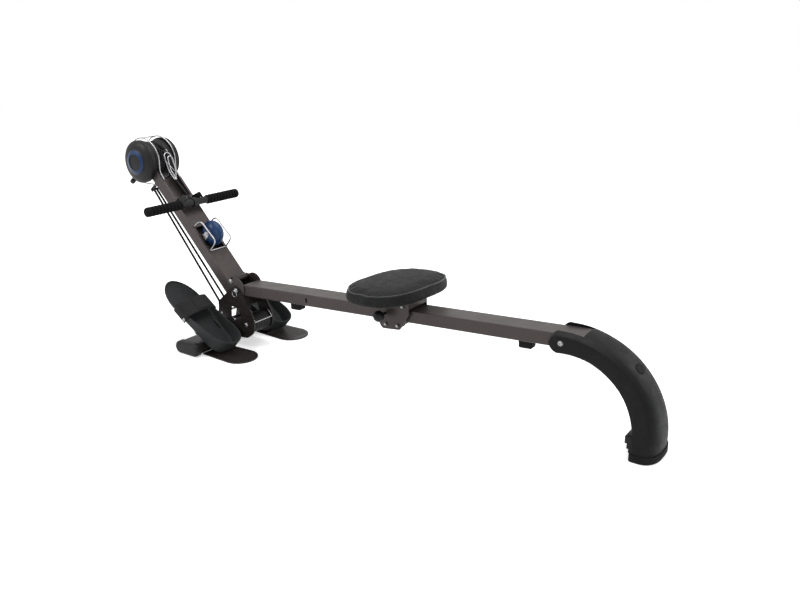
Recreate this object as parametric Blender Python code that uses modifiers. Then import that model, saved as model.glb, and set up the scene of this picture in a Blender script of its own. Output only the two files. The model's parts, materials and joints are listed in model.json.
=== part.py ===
"""Folding rope rower: post with rope drum, sliding seat on a beam, curved rear leg.

Metres, +Z up. +X runs along the beam to the rear leg, and the rower's left foot is at -Y.
The origin is on the floor, under the middle of the whole machine.
"""

import math

import bmesh
import bpy
from mathutils import Matrix, Vector

# Clearances
FIT = 0.0003
RUNNING = 0.0011

# Beam: rectangular steel tube, rising a little towards the rear
HINGE_Z = 0.2311
BEAM_SLOPE = math.radians(3.5)
BEAM_WIDTH = 0.080
BEAM_HEIGHT = 0.040
BEAM_WALL = 0.0025
BEAM_DROP = 0.0091
BEAM_START = 0.056
BEAM_END = 1.310

# Post: rectangular steel tube that leans away from the rower
POST_LEAN = math.radians(42.72)
POST_WALL = 0.003
POST_WIDTH = BEAM_WIDTH + 2 * (RUNNING + POST_WALL)
POST_DEPTH = 0.040
HINGE_PROUD = 0.0097
POST_FOOT = -0.092
POST_TOP = 0.480
EAR_UP, EAR_FRONT, EAR_RADIUS = -0.034, 0.0160, 0.036
BOLT_RADIUS = 0.005
PIN_UP, PIN_FRONT = -0.0417, 0.0156

# Base
CHEEK_WALL = 0.004
TUBE_X, TUBE_HALF_LENGTH = -0.050, 0.200
TUBE_WIDTH, TUBE_HEIGHT, TUBE_WALL = 0.104, 0.038, 0.002
CAP_THICKNESS, CAP_LIP = 0.026, 0.0035
STAND_TIP_X, STAND_Y, STAND_HALF_WIDTH, STAND_THICKNESS = 0.1776, 0.133, 0.061, 0.005
LOWER_AXLE = (0.069, 0.0827)
LOWER_ROLLER_RADIUS = 0.034

# Rope drum on top of the post
DRUM_UP, DRUM_FRONT = 0.562, -0.0317
DRUM_RADIUS = 0.071
DRUM_GROOVE_RADIUS, DRUM_GROOVE_WIDTH = 0.054, 0.0265
COVER_RADIUS, COVER_BAND, COVER_DOME, COVER_WALL = 0.0765, 0.017, 0.019, 0.003
BADGE_RING_INNER, BADGE_RING_OUTER = 0.028, 0.045
WIRE_RADIUS = 0.0021
GUARD_RADIUS = 0.083
GUARD_Y = 0.0365
ROPE_RADIUS = 0.003

# Blue rope roller halfway up the post
ROLLER_UP, ROLLER_FRONT = 0.190, 0.0237
ROLLER_RADIUS, ROLLER_WIDTH = 0.0455, 0.056
ROLLER_GUARD_HALF = 0.054

# Handlebar
HANDLE_UP, HANDLE_FRONT = 0.324, 0.0276
HANDLE_HALF_LENGTH = 0.2123
HANDLE_BAR_RADIUS, GRIP_RADIUS, GRIP_LENGTH, GRIP_RIBS = 0.0125, 0.0165, 0.152, 9

# Elastic cords behind the post
CORD_RADIUS = 0.0032
CORD_FEET, CORD_HEADS = (-0.0307, 0.0, 0.0307), (-0.0125, 0.0, 0.0125)
CORD_ROD_RADIUS = 0.004
CORD_FOOT_UP, CORD_FOOT_FRONT = -0.058, -0.1119
CORD_TOP_UP, CORD_TOP_FRONT = DRUM_UP - 0.084, -0.0970

# Pedals: toe end, then sizes along the sole and above its underside
PEDAL_SLOPE = math.radians(36.6)
PEDAL_TOE_X, PEDAL_TOE_Z = -0.222, 0.207
PEDAL_LENGTH, PEDAL_TOE_HALF, PEDAL_HEEL_HALF = 0.350, 0.063, 0.055
PEDAL_TOE_ROUND, PEDAL_HEEL_CURVE = 0.100, 0.036
PEDAL_SOLE, PEDAL_WALL, PEDAL_Y = 0.007, 0.004, 0.131
PEDAL_RIM_START, PEDAL_RIM_MIDDLE, PEDAL_RIM_HEEL = 0.0085, 0.036, 0.076
PEDAL_AXLE_ALONG, PEDAL_AXLE_BELOW = 0.215, 0.013
PEDAL_AXLE_RADIUS = 0.006
STRAP_ALONG, STRAP_WIDTH, STRAP_HEIGHT, STRAP_THICKNESS = 0.146, 0.062, 0.052, 0.003
STRAP_BOLT_ALONG, STRAP_BOLT_ABOVE = 0.170, 0.014

# Seat and carriage, measured along the beam from the hinge
SEAT_ALONG = 0.688
CARRIAGE_FRONT, CARRIAGE_REAR = -0.072, 0.072
CARRIAGE_WALL, CARRIAGE_RISE = 0.003, 0.034
CARRIAGE_GAP = 0.0085
UPPER_ROLLER_RADIUS, LOWER_WHEEL_RADIUS = 0.0135, 0.010
UPPER_ROLLERS = (-0.054, 0.050)
LOWER_WHEELS = (-0.016, 0.028)
AXLE_RADIUS = 0.003
PAD_THICKNESS, PAD_CROWN = 0.040, 0.010
PAD_HALF_LENGTH, PAD_HALF_WIDTH, PAD_TURN = 0.133, 0.174, math.radians(7)
STOP_LENGTH, STOP_HEIGHT = 0.042, 0.030
STOP_PLACES = (0.269, BEAM_END - 0.184)

# Curved rear leg: it grips the beam's end and turns down round a centre at this height
LEG_Z = 0.045
LEG_PROUD, LEG_UNDER, LEG_FOOT_DEEPER = 0.0087, 0.0073, 0.012
LEG_HALF_WIDTH, FOOT_HALF_WIDTH = 0.0605, 0.076
LEG_FRONT_ALONG = BEAM_END - 0.094
LEG_BEND_ALONG = BEAM_END - 0.0607
LEG_BOLT_ALONG = BEAM_END - 0.057
FOOT_CAP_HEIGHT, FOOT_CAP_WALL = 0.022, 0.003

# The leg's centre and radii, from the beam
LEG_X = (LEG_BEND_ALONG + (HINGE_Z - LEG_Z) * math.sin(BEAM_SLOPE)) / math.cos(BEAM_SLOPE)
LEG_REACH = (HINGE_Z - LEG_Z) * math.cos(BEAM_SLOPE) + LEG_X * math.sin(BEAM_SLOPE) - BEAM_DROP
LEG_OUTER = LEG_REACH + LEG_PROUD
LEG_INNER = LEG_REACH - BEAM_HEIGHT - LEG_UNDER
LEG_FOOT_OUTER = LEG_OUTER + LEG_FOOT_DEEPER

# The hinge's place, so that the origin is under the middle of the machine
POST_SIN, POST_COS = math.sin(POST_LEAN), math.cos(POST_LEAN)
FRONT_END = -DRUM_UP * POST_SIN + (DRUM_FRONT - HINGE_PROUD) * POST_COS - GUARD_RADIUS - WIRE_RADIUS
REAR_END = LEG_X + LEG_FOOT_OUTER + FOOT_CAP_WALL
HINGE_X = -(FRONT_END + REAR_END) / 2

POST_HALF = POST_WIDTH / 2
CHEEK_IN = POST_HALF + FIT
CHEEK_OUT = CHEEK_IN + CHEEK_WALL


def at(x, z, y=0.0):
    """A point by its distance behind the hinge axis and its height."""
    return Vector((HINGE_X + x, y, z))


def on_post(up, front, y=0.0):
    """A point by its distance up the post from the hinge and in front of the post's face."""
    out = front - HINGE_PROUD
    return at(-up * POST_SIN + out * POST_COS, HINGE_Z + up * POST_COS + out * POST_SIN, y)


def on_beam(along, above, y=0.0):
    """A point by its distance along the beam from the hinge and above the beam's top face."""
    rise = above - BEAM_DROP
    return at(
        along * math.cos(BEAM_SLOPE) - rise * math.sin(BEAM_SLOPE),
        HINGE_Z + along * math.sin(BEAM_SLOPE) + rise * math.cos(BEAM_SLOPE),
        y,
    )


def on_pedal(along, above, y=0.0):
    """A point by its distance from the toe end and above the sole's underside."""
    return at(
        PEDAL_TOE_X + along * math.cos(PEDAL_SLOPE) + above * math.sin(PEDAL_SLOPE),
        PEDAL_TOE_Z - along * math.sin(PEDAL_SLOPE) + above * math.cos(PEDAL_SLOPE),
        y,
    )


Y_AXIS = Vector((0, 1, 0))
POST_UP = Vector((-POST_SIN, 0, POST_COS))
POST_OUT = Vector((POST_COS, 0, POST_SIN))
BEAM_ALONG = Vector((math.cos(BEAM_SLOPE), 0, math.sin(BEAM_SLOPE)))
BEAM_UP = Vector((-math.sin(BEAM_SLOPE), 0, math.cos(BEAM_SLOPE)))
PEDAL_ALONG = Vector((math.cos(PEDAL_SLOPE), 0, -math.sin(PEDAL_SLOPE)))
PEDAL_UP = Vector((math.sin(PEDAL_SLOPE), 0, math.cos(PEDAL_SLOPE)))


def pose(origin, x_axis, y_axis):
    """The matrix of a frame whose x and y axes point this way."""
    z_axis = x_axis.cross(y_axis)
    turn = Matrix((x_axis, y_axis, z_axis)).transposed().to_4x4()
    return Matrix.Translation(origin) @ turn


def side_pose(y=0.0):
    """Maps a drawing's x and y to world X and Z, seen from the left."""
    return pose(Vector((0, y, 0)), Vector((1, 0, 0)), Vector((0, 0, 1)))


def axle_pose(centre):
    """A frame whose z axis runs along world Y, for turned pieces on an axle."""
    return pose(centre, Vector((0, 0, 1)), Vector((1, 0, 0)))


for old in list(bpy.data.objects):
    bpy.data.objects.remove(old, do_unlink=True)

PARTS = bpy.data.collections.new("rope_rower")
CUTTERS = bpy.data.collections.new("cutters")
bpy.context.scene.collection.children.link(PARTS)
bpy.context.scene.collection.children.link(CUTTERS)

# Colour, roughness and metallic of each finish
FINISHES = {
    "painted_steel": ((0.085, 0.072, 0.070), 0.38, 0.6),
    "black_plastic": ((0.018, 0.018, 0.019), 0.45, 0.0),
    "pedal_plastic": ((0.045, 0.047, 0.048), 0.62, 0.0),
    "rubber": ((0.012, 0.012, 0.012), 0.80, 0.0),
    "chrome": ((0.75, 0.75, 0.76), 0.16, 1.0),
    "zinc": ((0.48, 0.48, 0.49), 0.32, 1.0),
    "blue_plastic": ((0.010, 0.075, 0.30), 0.35, 0.0),
    "leatherette": ((0.035, 0.036, 0.036), 0.55, 0.0),
    "foam": ((0.016, 0.016, 0.016), 0.90, 0.0),
    "webbing": ((0.022, 0.022, 0.023), 0.85, 0.0),
    "rope": ((0.020, 0.020, 0.022), 0.75, 0.0),
}


def finish(kind):
    """The material of this finish."""
    found = bpy.data.materials.get(kind)
    if found:
        return found
    colour, roughness, metallic = FINISHES[kind]
    made = bpy.data.materials.new(kind)
    made.use_nodes = True
    shader = made.node_tree.nodes["Principled BSDF"]
    shader.inputs["Base Color"].default_value = (*colour, 1)
    shader.inputs["Roughness"].default_value = roughness
    shader.inputs["Metallic"].default_value = metallic
    made.diffuse_color = (*colour, 1)
    return made


def body(name, place):
    """An empty on a moving piece's axis."""
    empty = bpy.data.objects.new(name, None)
    empty.empty_display_size = 0.05
    empty.location = place
    PARTS.objects.link(empty)
    return empty


def add(name, mesh, kind, place, parent=None, smooth=35):
    """A part from a mesh drawn in the frame of place."""
    obj = bpy.data.objects.new(name, mesh)
    mesh.materials.clear()
    mesh.materials.append(finish(kind))
    mesh.shade_smooth()
    mesh.set_sharp_from_angle(angle=math.radians(smooth))
    obj.matrix_world = place
    if parent:
        obj.parent = parent
        obj.matrix_parent_inverse = Matrix.Translation(-parent.location)
    PARTS.objects.link(obj)
    return obj


def helper(obj):
    """Makes a part into a cutter, which isn't rendered."""
    PARTS.objects.unlink(obj)
    CUTTERS.objects.link(obj)
    obj.hide_render = True
    obj.display_type = "WIRE"
    return obj


def combine(obj, other, operation):
    step = obj.modifiers.new(operation.lower() + "_" + other.name, "BOOLEAN")
    step.operation = operation
    step.solver = "EXACT"
    step.object = helper(other)


def cut(obj, *others):
    for other in others:
        combine(obj, other, "DIFFERENCE")
    return obj


def join(obj, *others):
    for other in others:
        combine(obj, other, "UNION")
    return obj


def round_edges(obj, width, segments=2, angle=40):
    step = obj.modifiers.new("edges", "BEVEL")
    step.width = width
    step.segments = segments
    step.limit_method = "ANGLE"
    step.angle_limit = math.radians(angle)
    step.use_clamp_overlap = True
    return obj


def mesh_of(curve, name):
    """The mesh of a curve's solid, with its caps welded on."""
    guide = bpy.data.objects.new(name, curve)
    CUTTERS.objects.link(guide)
    bpy.context.view_layer.update()
    graph = bpy.context.evaluated_depsgraph_get()
    mesh = bpy.data.meshes.new_from_object(guide.evaluated_get(graph))
    bpy.data.objects.remove(guide, do_unlink=True)
    work = bmesh.new()
    work.from_mesh(mesh)
    bmesh.ops.remove_doubles(work, verts=work.verts, dist=0.00002)
    bmesh.ops.recalc_face_normals(work, faces=work.faces)
    work.to_mesh(mesh)
    work.free()
    mesh.name = name
    return mesh


def plate(name, outline, thickness, kind, place, holes=(), parent=None, smooth=35):
    """A flat outline with holes, as thick as given, centred on the plane of place."""
    curve = bpy.data.curves.new(name, "CURVE")
    curve.dimensions = "2D"
    curve.fill_mode = "BOTH"
    curve.extrude = thickness / 2
    for loop in (outline, *holes):
        spline = curve.splines.new("POLY")
        spline.points.add(len(loop) - 1)
        spline.use_cyclic_u = True
        for point, (x, y) in zip(spline.points, loop):
            point.co = (x, y, 0, 1)
    return add(name, mesh_of(curve, name), kind, place, parent, smooth)


def wire(name, points, radius, kind, parent=None, closed=False, sides=2):
    """A round wire, rope or tube through these points."""
    curve = bpy.data.curves.new(name, "CURVE")
    curve.dimensions = "3D"
    curve.bevel_depth = radius
    curve.bevel_resolution = sides
    curve.use_fill_caps = True
    spline = curve.splines.new("POLY")
    spline.points.add(len(points) - 1)
    spline.use_cyclic_u = closed
    for point, place in zip(spline.points, points):
        point.co = (*place, 1)
    return add(name, mesh_of(curve, name), kind, Matrix(), parent, 60)


def primitive(name, work, kind, place, parent=None, smooth=35):
    mesh = bpy.data.meshes.new(name)
    work.to_mesh(mesh)
    work.free()
    return add(name, mesh, kind, place, parent, smooth)


def box(name, size, kind, place, parent=None):
    """A box of this size, centred on place."""
    work = bmesh.new()
    bmesh.ops.create_cube(work, size=1, matrix=Matrix.Diagonal((*size, 1)))
    return primitive(name, work, kind, place, parent)


def rod(name, radius, start, end, kind, parent=None, sides=24, end_radius=None):
    """A round bar between two points."""
    work = bmesh.new()
    bmesh.ops.create_cone(
        work,
        cap_ends=True,
        segments=sides,
        radius1=radius,
        radius2=end_radius or radius,
        depth=(end - start).length,
    )
    turn = (end - start).to_track_quat("Z", "Y").to_matrix().to_4x4()
    return primitive(name, work, kind, Matrix.Translation((start + end) / 2) @ turn, parent)


def cross_rod(name, radius, centre, y_from, y_to, kind, parent=None, sides=24):
    """A round bar along Y at this centre."""
    start, end = (Vector((centre.x, y, centre.z)) for y in (y_from, y_to))
    return rod(name, radius, start, end, kind, parent, sides)


def ball(name, radius, centre, kind, parent=None, sides=20):
    work = bmesh.new()
    bmesh.ops.create_uvsphere(work, u_segments=sides, v_segments=sides // 2, radius=radius)
    return primitive(name, work, kind, Matrix.Translation(centre), parent, 80)


def turned(name, profile, kind, place, steps=32, parent=None, closed=False, smooth=35):
    """A turned piece: (radius, height) points from the top, down the outside, to the bottom."""
    mesh = bpy.data.meshes.new(name)
    ends = [(i, i + 1) for i in range(len(profile) - 1)]
    if closed:
        ends.append((len(profile) - 1, 0))
    mesh.from_pydata([(r, 0, h) for r, h in profile], ends, [])
    obj = add(name, mesh, kind, place, parent, smooth)
    step = obj.modifiers.new("turn", "SCREW")
    step.axis = "Z"
    step.steps = step.render_steps = steps
    step.use_merge_vertices = True
    step.merge_threshold = 0.00001
    step.use_smooth_shade = True
    return obj


def loft(name, rings, kind, place=None, parent=None, smooth=35):
    """A closed solid through rings of as many points each, with flat ends."""
    work = bmesh.new()
    rows = [[work.verts.new(point) for point in ring] for ring in rings]
    count = len(rings[0])
    for row, after in zip(rows, rows[1:]):
        for i in range(count):
            j = (i + 1) % count
            work.faces.new((row[i], row[j], after[j], after[i]))
    work.faces.new(rows[0])
    work.faces.new(rows[-1])
    bmesh.ops.recalc_face_normals(work, faces=work.faces)
    return primitive(name, work, kind, place or Matrix(), parent, smooth)


def arc(centre, radius, start, end, steps):
    """Points on an arc in a drawing, by angles in degrees."""
    turns = [math.radians(start + (end - start) * i / steps) for i in range(steps + 1)]
    return [(centre[0] + radius * math.cos(t), centre[1] + radius * math.sin(t)) for t in turns]


def circle(centre, radius, steps=16):
    return arc(centre, radius, 0, 360, steps)[:-1]


def rounded(corners, radii, steps=5):
    """The outline through these corners, each turned into an arc of its own radius."""
    if not isinstance(radii, (list, tuple)):
        radii = [radii] * len(corners)
    outline = []
    for i, radius in enumerate(radii):
        here = Vector(corners[i])
        before = (Vector(corners[i - 1]) - here).normalized()
        after = (Vector(corners[(i + 1) % len(corners)]) - here).normalized()
        half = before.angle(after) / 2
        if radius == 0:
            outline.append(tuple(here))
            continue
        centre = here + (before + after).normalized() * radius / math.sin(half)
        start = here + before * radius / math.tan(half) - centre
        end = here + after * radius / math.tan(half) - centre
        first = math.degrees(math.atan2(start.y, start.x))
        sweep = math.degrees(math.atan2(end.y, end.x)) - first
        sweep = (sweep + 180) % 360 - 180
        outline += arc(centre, radius, first, first + sweep, steps)
    return outline


def rectangle(width, height, radius=0, steps=4):
    x, y = width / 2, height / 2
    return rounded([(-x, -y), (x, -y), (x, y), (-x, y)], radius, steps)


def slot(centre, length, width, steps=6):
    """A round-ended slot whose length runs along a drawing's x."""
    reach = (length - width) / 2
    return [
        *arc((centre[0] + reach, centre[1]), width / 2, -90, 90, steps),
        *arc((centre[0] - reach, centre[1]), width / 2, 90, 270, steps),
    ]


def flat(point):
    """A world point as a point of a side drawing."""
    return (point.x, point.z)


def hole_along_y(name, radius, centre, half=0.2, sides=16):
    return cross_rod(name, radius, centre, -half, half, "zinc", sides=sides)


LEFT, RIGHT = ("left", -1), ("right", 1)
HINGE = at(0, HINGE_Z)
PIN = on_post(PIN_UP, PIN_FRONT)
DRUM = on_post(DRUM_UP, DRUM_FRONT)
ROLLER = on_post(ROLLER_UP, ROLLER_FRONT)
HANDLE = on_post(HANDLE_UP, HANDLE_FRONT)
LOWER = at(*LOWER_AXLE)
PEDAL_PIVOT = on_pedal(PEDAL_AXLE_ALONG, -PEDAL_AXLE_BELOW)
CORD_FOOT = on_post(CORD_FOOT_UP, CORD_FOOT_FRONT)
CORD_TOP = on_post(CORD_TOP_UP, CORD_TOP_FRONT)

BEAM_BODY = body("beam_body", HINGE)
SEAT_BODY = body("seat_body", on_beam(SEAT_ALONG, 0))
HANDLE_BODY = body("handlebar_body", HANDLE)
DRUM_BODY = body("drum_body", DRUM)
PIN_BODY = body("lock_pin_body", PIN)


def post():
    """The leaning tube: round ears hold the beam's hinge, and its sides reach up to the drum."""
    outline = rounded(
        [
            (POST_FOOT, -POST_DEPTH),
            (POST_FOOT, 0),
            (POST_TOP, 0),
            (DRUM_UP + 0.020, DRUM_FRONT + 0.022),
            (DRUM_UP + 0.020, DRUM_FRONT - 0.020),
            (POST_TOP, -POST_DEPTH),
        ],
        [0.004, 0.004, 0.02, 0.016, 0.016, 0.02],
    )
    frame = pose(on_post(0, 0), POST_UP, POST_OUT)
    tube = plate("post", outline, POST_WIDTH, "painted_steel", frame)
    ear = cross_rod(
        "ear_disc",
        EAR_RADIUS,
        on_post(EAR_UP, EAR_FRONT),
        -POST_HALF,
        POST_HALF,
        "painted_steel",
        sides=40,
    )
    join(tube, ear)
    inside = POST_WIDTH - 2 * POST_WALL
    deep = POST_DEPTH - 2 * POST_WALL
    long = POST_TOP - POST_FOOT

    def opening(name, up_from, up_to, front_from, front_to, width):
        middle = on_post((up_from + up_to) / 2, (front_from + front_to) / 2)
        size = (up_to - up_from, front_to - front_from, width)
        return box(name, size, "zinc", pose(middle, POST_UP, POST_OUT))

    cut(
        tube,
        opening("post_bore", POST_FOOT - 0.02, long, -POST_WALL - deep, -POST_WALL, inside),
        opening("hinge_mouth", POST_FOOT - 0.02, 0.012, -POST_WALL - deep, 0.08, inside),
        opening("drum_fork", POST_TOP, 0.7, -0.1, 0.05, inside),
        opening("rope_window", 0.372, 0.52, -0.01, 0.01, inside - 0.012),
        opening(
            "roller_window",
            ROLLER_UP - ROLLER_RADIUS - 0.004,
            ROLLER_UP + ROLLER_RADIUS + 0.004,
            -0.01,
            0.01,
            ROLLER_WIDTH + 0.014,
        ),
        hole_along_y("hinge_bore", BOLT_RADIUS + FIT, HINGE),
        hole_along_y("pin_bore", BOLT_RADIUS + FIT, PIN),
        hole_along_y("drum_bore", BOLT_RADIUS + FIT, DRUM),
    )
    return tube


def cheek(side, sign):
    """A base side plate: it carries the post, the lower roller and the pedal axle."""
    corners = [at(x, z) for x, z in CHEEK_CORNERS]
    outline = rounded([flat(corner) for corner in corners], CHEEK_ROUNDS, 4)
    window = rounded([flat(at(x, z)) for x, z in CHEEK_WINDOW], 0.007, 3)
    bores = [
        circle(flat(PIN), BOLT_RADIUS + FIT),
        circle(flat(LOWER), BOLT_RADIUS + FIT),
        circle(flat(PEDAL_PIVOT), PEDAL_AXLE_RADIUS + FIT),
        circle(flat(CORD_FOOT), CORD_ROD_RADIUS + FIT, 12),
    ]
    middle = sign * (CHEEK_IN + CHEEK_WALL / 2)
    made = plate(
        "base_cheek_" + side,
        outline,
        CHEEK_WALL,
        "painted_steel",
        side_pose(middle),
        [window, *bores],
    )
    room = plate(
        "tube_room_" + side,
        rectangle(TUBE_WIDTH + 2 * FIT, TUBE_HEIGHT + 2 * FIT, TUBE_HEIGHT / 2, 8),
        0.03,
        "zinc",
        pose(at(TUBE_X, TUBE_Z, middle), Vector((1, 0, 0)), Vector((0, 0, 1))),
    )
    return cut(made, room)


TUBE_Z = CAP_LIP + TUBE_HEIGHT / 2
CHEEK_CORNERS = [
    (0.022, 0.221),
    (0.047, 0.205),
    (0.089, 0.145),
    (0.109, 0.108),
    (0.106, 0.060),
    (0.074, 0.034),
    (0.022, 0.030),
    (-0.084, 0.036),
    (-0.064, 0.122),
    (-0.064, 0.146),
    (-0.036, 0.172),
]
CHEEK_ROUNDS = [0.013, 0.015, 0.06, 0.05, 0.03, 0.025, 0.01, 0.004, 0.03, 0.012, 0.03]
CHEEK_WINDOW = [(-0.002, 0.140), (0.034, 0.139), (0.044, 0.112), (0.036, 0.076), (-0.004, 0.098)]


def cross_tube():
    """The oval tube across the front, with its two end caps."""
    across = pose(at(TUBE_X, TUBE_Z), Vector((0, 0, 1)), Vector((1, 0, 0)))
    outer = rectangle(TUBE_HEIGHT, TUBE_WIDTH, TUBE_HEIGHT / 2 - 0.0001, 8)
    bore_height = TUBE_HEIGHT - 2 * TUBE_WALL
    bore = rectangle(bore_height, TUBE_WIDTH - 2 * TUBE_WALL, bore_height / 2 - 0.0001, 8)
    plate("cross_tube", outer, 2 * TUBE_HALF_LENGTH, "painted_steel", across, [bore])
    for side, sign in (LEFT, RIGHT):
        rings = []
        for out, inset in ((0, 0), (0.014, 0), (0.020, 0.002), (CAP_THICKNESS, 0.007)):
            height = TUBE_HEIGHT + 2 * CAP_LIP - 2 * inset
            width = TUBE_WIDTH + 2 * CAP_LIP - 2 * inset
            ring = rectangle(width, height, height / 2 - 0.0001, 8)
            y = sign * (TUBE_HALF_LENGTH + FIT + out)
            rings.append([at(TUBE_X + x, TUBE_Z + z, y) for x, z in ring])
        cap = loft("cross_tube_cap_" + side, rings, "black_plastic")
        plug_height = bore_height - 2 * FIT
        plug_width = TUBE_WIDTH - 2 * TUBE_WALL - 2 * FIT
        inner = rectangle(plug_width, plug_height, plug_height / 2 - 0.0001, 8)
        y_from = sign * (TUBE_HALF_LENGTH - 0.018)
        y_to = sign * (TUBE_HALF_LENGTH + 0.004)
        plug = loft(
            "cap_plug_" + side,
            [[at(TUBE_X + x, TUBE_Z + z, y) for x, z in inner] for y in (y_from, y_to)],
            "black_plastic",
        )
        join(cap, plug)


def standing_plate(side, sign):
    """A round-ended plate on the floor, to stand on, with a row of grip ribs."""
    y = sign * STAND_Y
    reach = math.sqrt((TUBE_HEIGHT / 2) ** 2 - (TUBE_Z - STAND_THICKNESS) ** 2)
    start = TUBE_X + (TUBE_WIDTH - TUBE_HEIGHT) / 2 + reach + FIT
    round_x = STAND_TIP_X - STAND_HALF_WIDTH
    outline = [(start, -STAND_HALF_WIDTH + 0.006), (start, STAND_HALF_WIDTH - 0.006)]
    outline += arc((round_x, 0), STAND_HALF_WIDTH, 90, -90, 20)
    frame = pose(at(0, STAND_THICKNESS / 2, y), Vector((1, 0, 0)), Vector((0, 1, 0)))
    made = plate("standing_plate_" + side, outline, STAND_THICKNESS, "painted_steel", frame)
    return round_edges(made, 0.0012, 1)


def lower_roller():
    """The ribbed rope roller between the base plates, its axle and its guard wire."""
    half = CHEEK_IN - 0.003
    grooves, depth = 6, 0.0022
    profile = [(0, half), (LOWER_ROLLER_RADIUS - 0.002, half), (LOWER_ROLLER_RADIUS, half - 0.002)]
    pitch = 2 * (half - 0.002) / grooves
    for i in range(grooves):
        middle = half - 0.002 - (i + 0.5) * pitch
        profile += [
            (LOWER_ROLLER_RADIUS, middle + pitch * 0.28),
            (LOWER_ROLLER_RADIUS - depth, middle + pitch * 0.12),
            (LOWER_ROLLER_RADIUS - depth, middle - pitch * 0.12),
            (LOWER_ROLLER_RADIUS, middle - pitch * 0.28),
        ]
    profile += [(LOWER_ROLLER_RADIUS - 0.002, -half), (0, -half)]
    roller = turned("lower_roller", profile, "black_plastic", axle_pose(LOWER), 18)
    cut(roller, hole_along_y("lower_roller_bore", BOLT_RADIUS + FIT, LOWER))
    bolt("lower_axle", LOWER, CHEEK_OUT)
    ring = LOWER_ROLLER_RADIUS + 0.0065
    y = CHEEK_IN - WIRE_RADIUS - FIT
    bend = [(0.030, 70), (ring, 62), (ring, 40), (ring, 22)]
    places = [(r * math.cos(math.radians(t)), r * math.sin(math.radians(t))) for r, t in bend]
    near = [LOWER + Vector((x, -y, z)) for x, z in places[1:]]
    far = [LOWER + Vector((x, y, z)) for x, z in reversed(places[1:])]
    wire("lower_guard", near + far, WIRE_RADIUS, "chrome")


def bolt(name, centre, grip, parent=None, radius=BOLT_RADIUS, head=0.0085, height=0.005):
    """A through bolt along Y with a domed head on each side, its grip from -grip to grip."""
    top = grip + FIT
    profile = [(0, top + height), (head * 0.55, top + height * 0.85), (head, top + height * 0.2)]
    profile += [(head, top), (radius, top), (radius, -top)]
    profile += [(r, -h) for r, h in reversed(profile[:4])]
    return turned(name, profile, "zinc", axle_pose(centre), 12, parent)


def least_gap(points, steps):
    """The least gap between turns of a winding, which has this many points a turn."""
    fine = []
    for start, end in zip(points, points[1:]):
        fine += [start.lerp(end, share / 4) for share in range(4)]
    apart = 3 * steps
    gaps = [
        (there - here).length
        for i, here in enumerate(fine)
        for there in fine[i + apart:]
    ]
    return min(gaps) - 2 * ROPE_RADIUS


def drum():
    """The rope drum in the post's fork, its winding, covers, axle and wire guard."""
    half = POST_HALF - POST_WALL - 0.0012
    groove = DRUM_GROOVE_WIDTH / 2
    profile = [
        (0.012, half),
        (DRUM_RADIUS - 0.003, half),
        (DRUM_RADIUS, half - 0.003),
        (DRUM_RADIUS, half * 0.72),
        (DRUM_RADIUS - 0.002, half * 0.68),
        (DRUM_RADIUS - 0.002, groove + 0.006),
        (DRUM_RADIUS - 0.004, groove + 0.002),
        (DRUM_GROOVE_RADIUS, groove),
    ]
    profile += [(r, -h) for r, h in reversed(profile)]
    profile += [(BOLT_RADIUS + FIT, -half), (BOLT_RADIUS + FIT, half)]
    turned("drum_pulley", profile, "black_plastic", axle_pose(DRUM), 26, DRUM_BODY, closed=True)

    turns, steps = 2.5, 16
    pitch = 2 * ROPE_RADIUS + 0.0005
    radius = (DRUM_GROOVE_RADIUS + ROPE_RADIUS + FIT) / math.cos(math.pi / steps)
    winding = []
    for i in range(int(turns * steps) + 1):
        angle = -2 * math.pi * i / steps
        y = pitch * (i / steps - turns / 2)
        winding.append(
            DRUM + Vector((radius * math.cos(angle), y, radius * math.sin(angle)))
        )
    wire("rope_winding", winding, ROPE_RADIUS, "rope", DRUM_BODY, sides=1)
    print("rope winding, least gap to itself in mm:", round(1000 * least_gap(winding, steps), 3))

    bolt("drum_axle", DRUM, POST_HALF, height=0.006)
    edge, band, top = COVER_RADIUS, COVER_BAND, COVER_BAND + COVER_DOME
    for side, sign in (LEFT, RIGHT):
        outer = [
            (0, top),
            (BADGE_RING_INNER, top - 0.0010),
            (BADGE_RING_INNER + 0.001, top + 0.0004),
            ((BADGE_RING_INNER + BADGE_RING_OUTER) / 2, top - 0.0012),
            (BADGE_RING_OUTER - 0.001, top - 0.0038),
            (BADGE_RING_OUTER, top - 0.0058),
            (edge - 0.016, top - 0.0095),
            (edge - 0.006, top - 0.0150),
            (edge, band),
            (edge, 0),
        ]
        inner = [
            (edge - COVER_WALL, 0),
            (edge - COVER_WALL - 0.002, band - 0.002),
            (edge - 0.016, band + 0.004),
            (0, top - COVER_WALL - 0.0035),
        ]
        frame = pose(
            DRUM + Vector((0, sign * (POST_HALF + FIT), 0)),
            Vector((0, 0, 1)),
            Vector((sign, 0, 0)),
        )
        turned("drum_cover_" + side, outer + inner, "black_plastic", frame, 30)


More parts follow.
